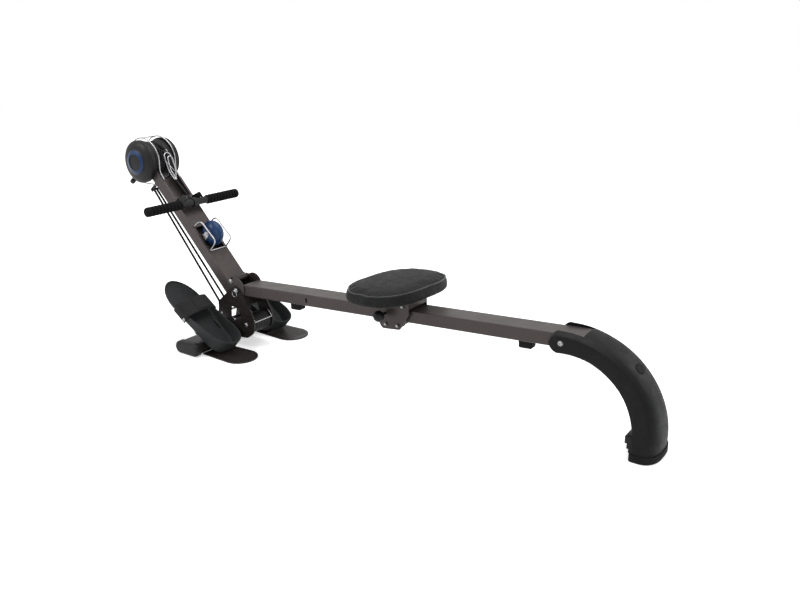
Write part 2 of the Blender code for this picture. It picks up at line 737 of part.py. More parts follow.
def drum_guard():
    """Two wire arches over the drum, joined across the top, with their feet on the post's face."""
    reach = GUARD_RADIUS
    arches = []
    for sign in (-1, 1):
        y = sign * GUARD_Y
        tilt = math.degrees(POST_LEAN)
        points = [on_post(0.452, WIRE_RADIUS + FIT, y), on_post(0.486, 0.010, y)]
        for i in range(21):
            angle = math.radians(tilt - 32 + i * 247 / 20)
            points.append(DRUM + Vector((reach * math.cos(angle), y, reach * math.sin(angle))))
        points += [on_post(0.470, -POST_DEPTH - 0.012, y)]
        points += [on_post(0.455, -POST_DEPTH - WIRE_RADIUS - FIT, y)]
        arches.append(wire("guard_arch_" + str(sign), points, WIRE_RADIUS, "chrome", sides=1))
    top = math.radians(104)
    centre = DRUM + Vector((reach * math.cos(top), 0, reach * math.sin(top)))
    bar = cross_rod("guard_bar", WIRE_RADIUS, centre, -GUARD_Y, GUARD_Y, "chrome", sides=8)
    arches[0].name = "drum_guard"
    join(arches[0], bar, arches[1])


def tension_knob():
    """A small knob behind the drum, screwed into the left cover's edge."""
    place = DRUM - POST_UP * 0.018 + Vector((0, -POST_HALF - 0.007, 0))
    rim = math.sqrt(COVER_RADIUS**2 - 0.018**2) + 0.001
    start = place - POST_OUT * rim
    middle = place - POST_OUT * (rim + 0.010)
    end = place - POST_OUT * (rim + 0.026)
    stem = rod("tension_knob", 0.003, start, middle, "black_plastic", sides=12)
    head = rod("knob_head", 0.0085, middle - POST_OUT * -0.002, end, "black_plastic", sides=16)
    return join(stem, head)


def middle_roller():
    """The blue rope roller on the post's face, in its bracket, with a wire guard."""
    half = ROLLER_WIDTH / 2
    profile = [(BOLT_RADIUS + FIT, half), (0.018, half), (0.030, half - 0.003)]
    profile += [(ROLLER_RADIUS - 0.003, half - 0.010), (ROLLER_RADIUS, half - 0.020)]
    profile += [(r, -h) for r, h in reversed(profile)]
    turned("middle_roller", profile, "blue_plastic", axle_pose(ROLLER), 28, closed=True)

    lug_in = half + 0.001
    lug_wall = 0.003
    base_front = ROLLER_FRONT - ROLLER_RADIUS - 0.0035
    back = base_front + lug_wall / 2
    lug = rounded(
        [
            (ROLLER_UP - 0.013, back - 0.002),
            (ROLLER_UP + 0.013, back - 0.002),
            (ROLLER_UP + 0.009, ROLLER_FRONT + 0.010),
            (ROLLER_UP - 0.009, ROLLER_FRONT + 0.010),
        ],
        [0.002, 0.002, 0.008, 0.008],
    )
    lugs = []
    for sign in (-1, 1):
        y = sign * (lug_in + lug_wall / 2)
        frame = pose(on_post(0, 0, y), POST_UP, POST_OUT)
        lugs.append(plate("roller_lug_" + str(sign), lug, lug_wall, "zinc", frame))
    shaft = cross_rod(
        "roller_bracket", BOLT_RADIUS, ROLLER, -lug_in - 0.005, lug_in + 0.005, "zinc", sides=20
    )
    inside = POST_WIDTH - 2 * POST_WALL - 2 * FIT
    base = box(
        "roller_base",
        (0.030, lug_wall, inside),
        "zinc",
        pose(on_post(ROLLER_UP, base_front), POST_UP, POST_OUT),
    )
    join(shaft, base, *lugs)

    loops = []
    rest, y = WIRE_RADIUS + FIT, POST_HALF - 0.0066
    for sign, height in ((-1, 0.047), (1, 0.055)):
        points = []
        for i in range(14):
            angle = math.pi * (1 - i / 13)
            up = ROLLER_UP + ROLLER_GUARD_HALF * math.cos(angle)
            front = rest + height * max(0, math.sin(angle)) ** 0.75
            points.append(on_post(up, front, sign * y))
        loops.append(wire("roller_loop_" + str(sign), points, WIRE_RADIUS, "chrome", sides=1))
    foot = on_post(ROLLER_UP - ROLLER_GUARD_HALF, rest)
    bar = cross_rod("roller_foot_bar", WIRE_RADIUS, foot, -y, y, "chrome", sides=8)
    loops[0].name = "roller_guard"
    join(loops[0], bar, loops[1])


def handlebar():
    """The bar with its two ribbed grips, parked under the rest's hooks."""
    y_grip = HANDLE_HALF_LENGTH - 0.004
    cross_rod("handlebar", HANDLE_BAR_RADIUS, HANDLE, -y_grip, y_grip, "black_plastic", HANDLE_BODY, 16)
    bore = HANDLE_BAR_RADIUS + FIT
    pitch = (GRIP_LENGTH - 0.016) / GRIP_RIBS
    for side, sign in (LEFT, RIGHT):
        profile = [(bore, 0), (GRIP_RADIUS - 0.002, 0), (GRIP_RADIUS, -0.003)]
        for i in range(GRIP_RIBS):
            top = -0.008 - i * pitch
            profile += [
                (GRIP_RADIUS, top),
                (GRIP_RADIUS - 0.0024, top - pitch * 0.28),
                (GRIP_RADIUS, top - pitch * 0.56),
            ]
        profile += [
            (GRIP_RADIUS, -GRIP_LENGTH + 0.004),
            (GRIP_RADIUS - 0.004, -GRIP_LENGTH),
            (0, -GRIP_LENGTH),
            (0, -GRIP_LENGTH + 0.004 - FIT),
            (bore, -GRIP_LENGTH + 0.004 - FIT),
        ]
        inner_end = HANDLE + Vector((0, sign * (HANDLE_HALF_LENGTH - GRIP_LENGTH), 0))
        frame = pose(inner_end, Vector((0, 0, 1)), Vector((-sign, 0, 0)))
        turned("grip_" + side, profile, "foam", frame, 16, HANDLE_BODY, closed=True)

    eye_ring = HANDLE_BAR_RADIUS + 0.003 + FIT
    eye = cross_rod("rope_eye", eye_ring + 0.0005, HANDLE, -0.007, 0.007, "black_plastic", HANDLE_BODY)
    towards = (BALL - HANDLE).normalized()
    neck_from = HANDLE + towards * (eye_ring - 0.001)
    neck_to = HANDLE + towards * (eye_ring + 0.016)
    neck = rod("rope_eye_neck", 0.0055, neck_from, neck_to, "zinc", sides=16)
    join(eye, neck)
    cut(eye, cross_rod("eye_bore", HANDLE_BAR_RADIUS + FIT, HANDLE, -0.02, 0.02, "zinc"))

    rope_from = neck_to + towards * FIT
    rope_to = BALL - towards * (BALL_RADIUS + FIT)
    wire("handle_rope", [rope_from, rope_to], ROPE_RADIUS, "rope", HANDLE_BODY)
    hook()


BALL_RADIUS = 0.0068
BALL = on_post(DRUM_UP - 0.122, 0.0145)
HOOK_TOP = on_post(DRUM_UP - 0.031, 0.0500)


def hook():
    """The wire snap hook between the rope's end and the handle's rope, with its ball swivel."""
    swivel = ball("snap_hook", BALL_RADIUS, BALL, "chrome", HANDLE_BODY, 16)
    along = (HOOK_TOP - BALL).normalized()
    side = Vector((0, 1, 0))
    length = (HOOK_TOP - BALL).length
    width = 0.0095
    loop = [BALL + side * 0.003, BALL + along * length * 0.30 + side * width]
    for i in range(9):
        angle = math.pi * i / 8
        centre = BALL + along * (length - width)
        loop.append(centre + side * width * math.cos(angle) + along * width * math.sin(angle))
    loop += [BALL + along * length * 0.30 - side * width, BALL - side * 0.003]
    frame = wire("hook_loop", loop, 0.0017, "chrome", sides=1)
    join(swivel, frame)
    rope_start = DRUM + Vector((math.cos(math.radians(38)), 0, math.sin(math.radians(38)))) * (
        DRUM_GROOVE_RADIUS + 3 * ROPE_RADIUS + 2 * FIT
    )
    rope_end = HOOK_TOP + along * (0.0017 + FIT)
    wire("drum_rope", [rope_start, rope_start.lerp(rope_end, 0.96)], ROPE_RADIUS, "rope")


def handle_rest():
    """The bracket on the post's face whose two hooks hold the parked handlebar down."""
    wall, half = 0.003, 0.036
    top = HANDLE_UP + HANDLE_BAR_RADIUS
    clear = HANDLE_BAR_RADIUS + 0.0006
    arm = [
        (HANDLE_UP - 0.004, FIT),
        (top + 0.030, FIT),
        (top + 0.016, HANDLE_FRONT + 0.018),
        (top - 0.007, HANDLE_FRONT + 0.018),
    ]
    outline = rounded(arm, [0.002, 0.006, 0.005, 0.003])
    arms = []
    for sign in (-1, 1):
        frame = pose(on_post(0, 0, sign * half), POST_UP, POST_OUT)
        arms.append(plate("rest_arm_" + str(sign), outline, wall, "black_plastic", frame))
    base = box(
        "handle_rest",
        (0.020, wall, 2 * half + 0.008),
        "black_plastic",
        pose(on_post(top + 0.014, FIT + wall / 2), POST_UP, POST_OUT),
    )
    join(base, *arms)
    leave = Vector((1, 0, 0)) * 0.08
    path = [
        cross_rod("bar_seat", clear, HANDLE, -0.1, 0.1, "zinc", sides=28),
        rest_path("bar_path", HANDLE, leave, clear),
    ]
    return cut(base, *path)


def rest_path(name, start, leave, radius):
    """The room that the bar needs on its way out of the hooks."""
    middle = start + leave / 2
    return box(
        name,
        (leave.length, 2 * radius, 0.2),
        "zinc",
        pose(middle, Vector((1, 0, 0)), Vector((0, 0, 1))),
    )


def cords():
    """Elastic cords that pull the rope back, from a rod in the base to a bracket on the post."""
    top_rod = cross_rod(
        "cord_anchor_top", CORD_ROD_RADIUS, CORD_TOP, -POST_HALF, POST_HALF, "zinc", sides=12
    )

    def behind(up):
        slope = (DRUM_FRONT - 0.020 + POST_DEPTH) / (DRUM_UP + 0.020 - POST_TOP)
        return (up, -POST_DEPTH + slope * max(0, up - POST_TOP) - 2 * FIT)

    lug = rounded(
        [
            behind(CORD_TOP_UP - 0.012),
            (CORD_TOP_UP - 0.008, CORD_TOP_FRONT - 0.007),
            (CORD_TOP_UP + 0.008, CORD_TOP_FRONT - 0.007),
            behind(CORD_TOP_UP + 0.010),
        ],
        [0.001, 0.006, 0.006, 0.001],
    )
    lugs = []
    for sign in (-1, 1):
        frame = pose(on_post(0, 0, sign * (POST_HALF - 0.0015)), POST_UP, POST_OUT)
        lugs.append(plate("cord_lug_" + str(sign), lug, 0.003, "zinc", frame))
    join(top_rod, *lugs)

    bottom_rod = cross_rod(
        "cord_anchor_bottom", CORD_ROD_RADIUS, CORD_FOOT, -CHEEK_OUT, CHEEK_OUT, "zinc", sides=12
    )
    for number, (y_foot, y_head) in enumerate(zip(CORD_FEET, CORD_HEADS)):
        foot = Vector((CORD_FOOT.x, y_foot, CORD_FOOT.z))
        head = Vector((CORD_TOP.x, y_head, CORD_TOP.z))
        along = (head - foot).normalized()
        for anchor, end, way in ((bottom_rod, foot, along), (top_rod, head, -along)):
            grip = rod(
                "cord_grip",
                CORD_RADIUS + 0.0012,
                end,
                end + way * 0.020,
                "zinc",
                sides=12,
            )
            join(anchor, grip)
        start, end = foot + along * (0.020 + FIT), head - along * (0.020 + FIT)
        wire("elastic_cord_" + str(number + 1), [start, end], CORD_RADIUS, "rubber")


def blend(share):
    """A smooth step from 0 to 1."""
    share = min(max(share, 0), 1)
    return share * share * (3 - 2 * share)


def pedal_half(along):
    """The pedal's half width at this distance from the toe."""
    half = PEDAL_TOE_HALF + (PEDAL_HEEL_HALF - PEDAL_TOE_HALF) * blend((along - 0.12) / 0.15)
    if along < PEDAL_TOE_ROUND:
        half *= math.sqrt(max(0, 1 - (1 - along / PEDAL_TOE_ROUND) ** 2))
    heel = along - (PEDAL_LENGTH - PEDAL_HEEL_HALF)
    if heel > 0:
        half *= math.sqrt(max(0.04, 1 - (heel / PEDAL_HEEL_HALF) ** 2))
    return half


def pedal_rim(along):
    """The rim's height above the underside at this distance from the toe."""
    middle = 0.75 * PEDAL_LENGTH
    low = PEDAL_RIM_START + (PEDAL_RIM_MIDDLE - PEDAL_RIM_START) * min(along / middle, 1)
    return low + (PEDAL_RIM_HEEL - PEDAL_RIM_MIDDLE) * blend((along - middle) / (0.23 * PEDAL_LENGTH))


def pedal_ring(along, under, y):
    """A U-shaped section: along the sole, its underside raised by under at the curved heel."""
    half, rim = pedal_half(along), pedal_rim(along)
    lean = 0.10 * (rim - PEDAL_RIM_START)
    wall = min(PEDAL_WALL, 0.35 * half)
    round_out = min(0.008, 0.4 * half, 0.6 * (rim - under))
    inside = half - wall
    floor = min(under + PEDAL_SOLE + 1.2 * max(0, under - 0.002), rim - 0.0015)
    round_in = min(0.007, 0.4 * inside, 0.6 * (rim - floor))
    side = [
        (half + lean, rim),
        (half, under + round_out),
        (half - 0.3 * round_out, under + 0.3 * round_out),
        (half - round_out, under),
    ]
    inner = [
        (inside + lean, rim),
        (inside, floor + round_in),
        (inside - 0.3 * round_in, floor + 0.3 * round_in),
        (inside - round_in, floor),
    ]
    section = side + [(-a, b) for a, b in reversed(side)]
    section += [(-a, b) for a, b in inner] + inner[::-1]
    return [on_pedal(along, above, y + across) for across, above in section]


def pedal(side, sign):
    """A foot plate with low side walls and a heel cup, lofted through U-shaped sections."""
    parent = body("pedal_" + side + "_body", PEDAL_PIVOT + Vector((0, sign * PEDAL_Y, 0)))
    y = sign * PEDAL_Y
    heel_start = PEDAL_LENGTH - PEDAL_HEEL_CURVE
    rings = []
    for degrees in (3, 12, 24, 38, 55, 75):
        rings.append(pedal_ring(PEDAL_TOE_ROUND * (1 - math.cos(math.radians(degrees))), 0, y))
    for i in range(8):
        along = PEDAL_TOE_ROUND + (heel_start - PEDAL_TOE_ROUND) * i / 7
        rings.append(pedal_ring(along, 0, y))
    for degrees in (18, 34, 50, 64, 76, 84, 89):
        turn = math.radians(degrees)
        along = heel_start + PEDAL_HEEL_CURVE * math.sin(turn)
        rings.append(pedal_ring(along, PEDAL_HEEL_CURVE * (1 - math.cos(turn)), y))
    sole = loft("pedal_" + side, rings, "pedal_plastic", parent=parent)

    boss_at = PEDAL_PIVOT + Vector((0, y, 0))
    boss_out = 0.034
    boss = cross_rod(
        "pedal_boss_" + side, 0.0115, boss_at, y - boss_out, y + boss_out, "pedal_plastic", sides=20
    )
    web = box(
        "pedal_web_" + side,
        (0.046, PEDAL_AXLE_BELOW, 2 * boss_out - 0.004),
        "pedal_plastic",
        pose(
            on_pedal(PEDAL_AXLE_ALONG, 0.003 - PEDAL_AXLE_BELOW / 2, y), PEDAL_ALONG, PEDAL_UP
        ),
    )
    join(sole, web, boss)
    cut(
        sole,
        cross_rod(
            "pedal_bore_" + side,
            PEDAL_AXLE_RADIUS + FIT,
            boss_at,
            y - 0.05,
            y + 0.05,
            "zinc",
            sides=16,
        ),
        cross_rod(
            "strap_bolt_bore_" + side,
            0.003 + FIT,
            on_pedal(STRAP_BOLT_ALONG, STRAP_BOLT_ABOVE),
            y - 0.09,
            y + 0.09,
            "zinc",
            sides=12,
        ),
    )
    for edge in (-1, 1):
        place = on_pedal(0.222, PEDAL_SOLE / 2, y + edge * (PEDAL_HEEL_HALF - 0.014))
        opening = plate(
            "pedal_slot_" + side + str(edge),
            slot((0, 0), 0.052, 0.0065),
            0.03,
            "zinc",
            pose(place, PEDAL_ALONG, Y_AXIS),
        )
        cut(sole, opening)
    strap(side, y, sign, parent)


def strap(side, y, sign, parent):
    """The wide strap over the foot, bolted to the pedal's side walls."""
    wide = PEDAL_TOE_HALF + 0.0026 + FIT
    low, shoulder = 0.004, pedal_rim(STRAP_ALONG) - 0.002
    outer = [(wide + STRAP_THICKNESS, low), (wide + STRAP_THICKNESS, shoulder - 0.004)]
    inner = [(wide, low), (wide, shoulder - 0.004)]
    for i in range(11):
        angle = math.pi * (0.06 + 0.88 * i / 10)
        rise = math.sin(angle) ** 0.7
        outer.append(
            ((wide + STRAP_THICKNESS) * math.cos(angle), shoulder + (STRAP_HEIGHT - shoulder) * rise)
        )
        top = STRAP_HEIGHT - STRAP_THICKNESS
        inner.append(((wide - 0.001) * math.cos(angle), shoulder + (top - shoulder) * rise))
    outer += [(-a, b) for a, b in reversed(outer[:2])]
    inner += [(-a, b) for a, b in reversed(inner[:2])]
    frame = pose(on_pedal(STRAP_ALONG, 0, y), Y_AXIS, PEDAL_UP)
    outline = outer + inner[::-1]
    band = plate("pedal_strap_" + side, outline, STRAP_WIDTH, "webbing", frame, parent=parent)
    bolt_at = on_pedal(STRAP_BOLT_ALONG, STRAP_BOLT_ABOVE)
    cut(
        band,
        cross_rod(
            "strap_bore_" + side, 0.003 + FIT, bolt_at, y - 0.09, y + 0.09, "zinc", sides=12
        ),
    )
    outside = y + sign * (wide + STRAP_THICKNESS)
    inside = y + sign * (PEDAL_TOE_HALF - PEDAL_WALL - 0.008)
    shank = cross_rod(
        "strap_bolt_" + side, 0.003, bolt_at, inside, outside + sign * 0.003, "zinc", parent, 12
    )
    head = cross_rod(
        "strap_bolt_head_" + side,
        0.0065,
        bolt_at,
        outside + sign * FIT,
        outside + sign * 0.0045,
        "zinc",
        sides=14,
    )
    join(shank, head)


def beam():
    """The beam, its hinge lugs, stops and lock pin."""
    frame = pose(
        on_beam((BEAM_START + BEAM_END) / 2, -BEAM_HEIGHT / 2), Y_AXIS, BEAM_UP
    )
    outer = rectangle(BEAM_WIDTH, BEAM_HEIGHT, 0.004, 3)
    bore = rectangle(BEAM_WIDTH - 2 * BEAM_WALL, BEAM_HEIGHT - 2 * BEAM_WALL)
    tube = plate("beam", outer, BEAM_END - BEAM_START, "painted_steel", frame, [bore], BEAM_BODY)
    lock_slot = on_beam(0.343, -BEAM_HEIGHT / 2)
    oval = plate(
        "beam_slot",
        slot((0, 0), 0.016, 0.007),
        0.2,
        "zinc",
        pose(lock_slot, BEAM_UP, BEAM_ALONG),
    )
    cut(
        tube,
        hole_along_y("beam_leg_bore", BOLT_RADIUS + FIT, on_beam(LEG_BOLT_ALONG, -BEAM_HEIGHT / 2)),
        oval,
    )

    lug_out = BEAM_WIDTH / 2 - BEAM_WALL - FIT
    lug_wall, lug_end, eye = 0.004, 0.125, 0.0125
    high = -BEAM_WALL - FIT
    pin_top = (PIN - on_beam(0, 0)).dot(BEAM_UP) + BOLT_RADIUS + FIT
    nose = arc((0, BEAM_DROP), eye, 60, 270, 10)
    outline = [flat(on_beam(along, above)) for along, above in nose]
    outline += rounded(
        [
            flat(on_beam(0.004, BEAM_DROP - eye)),
            flat(on_beam(0.014, pin_top)),
            flat(on_beam(lug_end, pin_top)),
            flat(on_beam(lug_end, high)),
            flat(on_beam(0.050, high)),
        ],
        [0, 0.006, 0.003, 0.003, 0.006],
        3,
    )
    lugs = []
    for sign in (-1, 1):
        y = sign * (lug_out - lug_wall / 2)
        lugs.append(plate("hinge_lug", outline, lug_wall, "zinc", side_pose(y)))
    sleeve = cross_rod("hinge_bracket", eye, HINGE, -lug_out, lug_out, "painted_steel", BEAM_BODY, 24)
    join(sleeve, *lugs)
    cut(
        sleeve,
        hole_along_y("sleeve_bore", BOLT_RADIUS + FIT, HINGE),
    )
    bolt("pivot_bolt", HINGE, POST_HALF)

    for name, along in zip(("stop_front", "stop_rear"), STOP_PLACES):
        size = (STOP_LENGTH, STOP_HEIGHT, 0.034)
        place = on_beam(along, -BEAM_HEIGHT - FIT - STOP_HEIGHT / 2)
        block = box(name, size, "rubber", pose(place, BEAM_ALONG, BEAM_UP), BEAM_BODY)
        round_edges(block, 0.006, 2)


def lock_pin():
    """The quick-release pin with its pull ring."""
    start, end = -CHEEK_OUT - 0.0065, CHEEK_OUT + 0.008
    shank = cross_rod("lock_pin", BOLT_RADIUS, PIN, start, end, "chrome", PIN_BODY, 20)
    head = cross_rod("lock_pin_head", 0.008, PIN, -CHEEK_OUT - 0.0075, -CHEEK_OUT - FIT, "chrome")
    neck_y = -CHEEK_OUT - 0.012
    neck = cross_rod("lock_pin_neck", 0.0042, PIN, neck_y - 0.004, start + 0.001, "chrome", sides=16)
    join(shank, head, neck)
    ring_radius, ring_wire = 0.0105, 0.0011
    eye = Vector((PIN.x, neck_y, PIN.z))
    across = Vector((0.02, 0, 0))
    cut(shank, rod("ring_hole", ring_wire + 0.0011, eye - across, eye + across, "zinc", sides=12))
    middle = eye - Vector((0, 0, ring_radius - 0.0004))
    loop = []
    for i in range(24):
        angle = 2 * math.pi * i / 24
        place = Vector((math.sin(angle), 0, math.cos(angle)))
        loop.append(middle + place * ring_radius)
    wire("pin_ring", loop, ring_wire, "chrome", PIN_BODY, closed=True, sides=1)


def pad_edge(angle):
    """The seat's outline by angle: a wide oval whose rear is cut straight, in (along, across)."""
    along = PAD_HALF_LENGTH * math.copysign(abs(math.cos(angle)) ** 0.80, math.cos(angle))
    across = PAD_HALF_WIDTH * math.copysign(abs(math.sin(angle)) ** 0.88, math.sin(angle))
    if along > 0:
        along *= 1 - 0.10 * math.cos(angle) ** 4
    return along, across


def seat_pad():
    """The padded seat: drawn-in sides, a piped top edge and a low crown."""
    rows = [
        (0.50, 0.0),
        (0.915, 0.0),
        (0.965, 0.004),
        (0.990, 0.013),
        (0.985, 0.024),
        (0.992, 0.031),
        (1.000, 0.035),
        (0.985, 0.039),
        (0.940, 0.0415),
        (0.80, 0.045),
        (0.55, 0.048),
        (0.25, PAD_THICKNESS + PAD_CROWN),
    ]
    steps = 44
    rings = []
    for share, height in rows:
        ring = []
        for i in range(steps):
            along, across = pad_edge(2 * math.pi * i / steps)
            back = along * math.cos(PAD_TURN) + across * math.sin(PAD_TURN)
            side = across * math.cos(PAD_TURN) - along * math.sin(PAD_TURN)
            above = CARRIAGE_TOP + FIT + height
            ring.append(on_beam(SEAT_ALONG + back * share, above, side * share))
        rings.append(ring)
    return loft("seat_pad", rings, "leatherette", parent=SEAT_BODY, smooth=50)


CARRIAGE_TOP = CARRIAGE_RISE
CARRIAGE_IN = BEAM_WIDTH / 2 + CARRIAGE_GAP


def carriage():
    """The channel under the seat, with rollers on top of the beam and under it."""
    front, rear = SEAT_ALONG + CARRIAGE_FRONT, SEAT_ALONG + CARRIAGE_REAR
    low = -BEAM_HEIGHT - 2 * LOWER_WHEEL_RADIUS - 0.006
    wheels = [SEAT_ALONG + place for place in LOWER_WHEELS]
    outline = rounded(
        [
            (front, 0.004),
            (wheels[0] - 0.014, low),
            (wheels[1] + 0.008, low + 0.003),
            (rear, -0.012),
            (rear, CARRIAGE_TOP),
            (front, CARRIAGE_TOP),
        ],
        [0.012, 0.012, 0.012, 0.008, 0.002, 0.002],
    )
    frame = pose(on_beam(0, 0), BEAM_ALONG, BEAM_UP)
    full = 2 * (CARRIAGE_IN + CARRIAGE_WALL)
    shell = plate("seat_carriage", outline, full, "painted_steel", frame, parent=SEAT_BODY)
    tall = CARRIAGE_TOP - CARRIAGE_WALL
    hollow = box(
        "carriage_room",
        (rear - front - 2 * CARRIAGE_WALL, tall + 0.2, 2 * CARRIAGE_IN),
        "zinc",
        pose(on_beam((front + rear) / 2, tall / 2 - 0.1), BEAM_ALONG, BEAM_UP),
    )
    passage = box(
        "beam_room",
        (0.4, 0.1 + 0.005, 2 * CARRIAGE_IN),
        "zinc",
        pose(on_beam(SEAT_ALONG, 0.005 - 0.105 / 2), BEAM_ALONG, BEAM_UP),
    )
    cut(shell, hollow, passage)
    out = CARRIAGE_IN + CARRIAGE_WALL
    axles = []
    for place in UPPER_ROLLERS:
        axles.append((SEAT_ALONG + place, UPPER_ROLLER_RADIUS + FIT))
    for place in LOWER_WHEELS:
        axles.append((SEAT_ALONG + place, -BEAM_HEIGHT - LOWER_WHEEL_RADIUS - FIT))
    names = ("upper_roller_front", "upper_roller_rear", "lower_roller_front", "lower_roller_rear")
    for name, (along, above) in zip(names, axles):
        centre = on_beam(along, above)
        upper = above > 0
        radius = UPPER_ROLLER_RADIUS if upper else LOWER_WHEEL_RADIUS
        shaft = cross_rod("axle_" + name, AXLE_RADIUS, centre, -out - 0.001, out + 0.001, "zinc", sides=14)
        ends = [
            cross_rod("axle_end_" + name, 0.0065, centre, sign * (out - 0.001), sign * (out + 0.0045), "zinc", sides=14)
            for sign in (-1, 1)
        ]
        join(shell, shaft, *ends)
        half = BEAM_WIDTH / 2 - 0.006
        rim = 0.0028
        wheel = [(radius - 0.001, half), (radius, half - 0.001), (radius, half - 0.012)]
        wheel += [(radius - rim, half - 0.014)]
        wheel += [(r, -h) for r, h in reversed(wheel)]
        wheel = wheel + [(AXLE_RADIUS + FIT, -half), (AXLE_RADIUS + FIT, half)]
        parent = body(name + "_body", centre)
        turned(name, wheel, "black_plastic", axle_pose(centre), 16, parent, closed=True)

    knob_at = on_beam(SEAT_ALONG - 0.016, -0.016, -out)
    stem = cross_rod("seat_knob", 0.004, knob_at, -BEAM_WIDTH / 2 - 0.001, -out - 0.024, "black_plastic", sides=14)
    stem.parent = body("seat_knob_body", knob_at)
    stem.matrix_parent_inverse = Matrix.Translation(-stem.parent.location)
    grip = ball("seat_knob_ball", 0.0175, knob_at + Vector((0, -0.0335, 0)), "black_plastic")
    join(stem, grip)
    cut(shell, cross_rod("knob_bore", 0.004 + FIT, knob_at, -out - 0.02, -CARRIAGE_IN + 0.01, "zinc", sides=14))


def leg_section(half_width, inner, outer):
    """The leg's section in (outward, across): flat sides, and a crowned face outside."""
    half = [
        (inner, half_width - 0.009),
        (inner + 0.003, half_width - 0.003),
        (inner + 0.009, half_width),
        (outer - 0.015, half_width),
        (outer - 0.0125, half_width - 0.002),
        (outer - 0.006, half_width - 0.013),
        (outer - 0.002, half_width - 0.024),
        (outer, half_width - 0.040),
    ]
    return [(out, -across) for out, across in half] + half[::-1]


def rear_leg():
    """The curved leg shell that straddles the beam's end, its bolt and its foot cap."""
    rings = []
    centre = at(LEG_X, LEG_Z)

    def ring(origin, outward, half_width, inner, outer):
        section = leg_section(half_width, inner, outer)
        return [origin + outward * out + Y_AXIS * across for out, across in section]

    middle, reach = -BEAM_HEIGHT / 2 + 0.001, BEAM_HEIGHT / 2 + 0.013
    for degrees in (22, 38, 56, 76):
        turn = math.radians(degrees)
        along = LEG_FRONT_ALONG + (LEG_BEND_ALONG - 0.004 - LEG_FRONT_ALONG) * (1 - math.cos(turn))
        tall = reach * math.sin(turn)
        rings.append(
            ring(on_beam(along, 0), BEAM_UP, LEG_HALF_WIDTH, middle - tall, middle + tall)
        )
    turns = 16
    for i in range(turns + 1):
        part = i / turns
        angle = math.pi / 2 + BEAM_SLOPE - part * (math.pi / 2 + BEAM_SLOPE)
        outward = Vector((math.cos(angle), 0, math.sin(angle)))
        swell = max(0, part - 0.55) / 0.45
        half_width = LEG_HALF_WIDTH + (FOOT_HALF_WIDTH - LEG_HALF_WIDTH) * swell**1.5
        neck = max(0, 1 - part / 0.25)
        outer = LEG_OUTER + (LEG_FOOT_OUTER - LEG_OUTER) * part + 0.004 * neck
        rings.append(ring(centre, outward, half_width, LEG_INNER - 0.004 * neck, outer))
    foot_z = FOOT_CAP_WALL + FIT
    drop = Vector((0, 0, foot_z - LEG_Z))
    rings.append(ring(centre + drop, Vector((1, 0, 0)), FOOT_HALF_WIDTH, LEG_INNER, LEG_FOOT_OUTER))
    leg = loft("rear_leg", rings, "black_plastic", parent=BEAM_BODY, smooth=28)

    room = box(
        "leg_socket",
        (0.3 + 0.001, BEAM_HEIGHT + 2 * FIT, BEAM_WIDTH + 2 * FIT),
        "zinc",
        pose(
            on_beam(BEAM_END + 0.001 - 0.15, -BEAM_HEIGHT / 2), BEAM_ALONG, BEAM_UP
        ),
    )
    mouth = box(
        "leg_mouth",
        (BEAM_END + 0.001 - LEG_FRONT_ALONG + 0.05, 0.10, BEAM_WIDTH + 2 * FIT),
        "zinc",
        pose(on_beam((BEAM_END + 0.001 + LEG_FRONT_ALONG - 0.05) / 2, 0.02), BEAM_ALONG, BEAM_UP),
    )
    below = box(
        "leg_mouth_below",
        (0.10, 0.10, BEAM_WIDTH + 2 * FIT),
        "zinc",
        pose(on_beam(LEG_FRONT_ALONG - 0.020, -0.07), BEAM_ALONG, BEAM_UP),
    )
    bolt_at = on_beam(LEG_BOLT_ALONG, -BEAM_HEIGHT / 2)
    cut(leg, hole_along_y("leg_bolt_bore", BOLT_RADIUS + FIT, bolt_at), room, mouth, below)
    bolt("leg_bolt", bolt_at, LEG_HALF_WIDTH, BEAM_BODY, height=0.0045)

    foot = at(LEG_X, 0)
    wall = FOOT_CAP_WALL
    lower = leg_section(FOOT_HALF_WIDTH + wall, LEG_INNER - wall, LEG_FOOT_OUTER + wall)
    upper_z = FOOT_CAP_HEIGHT
    halfway = (LEG_INNER + LEG_FOOT_OUTER) / 2
    rings = []
    for z, shrink in ((0, 0.004), (0.003, 0.0), (upper_z, 0.0)):
        rings.append(
            [
                foot + Vector((out + (shrink if out < halfway else -shrink), across * (1 - shrink * 8), z))
                for out, across in lower
            ]
        )
    cap = loft("foot_cap", rings, "rubber", parent=BEAM_BODY)
    section = leg_section(FOOT_HALF_WIDTH + FIT, LEG_INNER - FIT, LEG_FOOT_OUTER + FIT)
    pocket = loft(
        "foot_pocket",
        [[foot + Vector((out, across, z)) for out, across in section] for z in (FOOT_CAP_WALL, 0.1)],
        "zinc",
    )
    cut(cap, pocket)


post()
for where in (LEFT, RIGHT):
    cheek(*where)
    standing_plate(*where)
    pedal(*where)
cross_tube()
bolt("pedal_axle", PEDAL_PIVOT, PEDAL_Y + 0.0345, radius=PEDAL_AXLE_RADIUS, head=0.0105)
lower_roller()
drum()
drum_guard()
tension_knob()
middle_roller()
handlebar()
handle_rest()
cords()
beam()
lock_pin()
seat_pad()
carriage()
rear_leg()
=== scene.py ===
"""The folding rope rower's looks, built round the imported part."""

import json
from math import copysign, cos, degrees, pi, radians, sin, sqrt

import bmesh
import bpy
from mathutils import Matrix, Vector
from mathutils.bvhtree import BVHTree

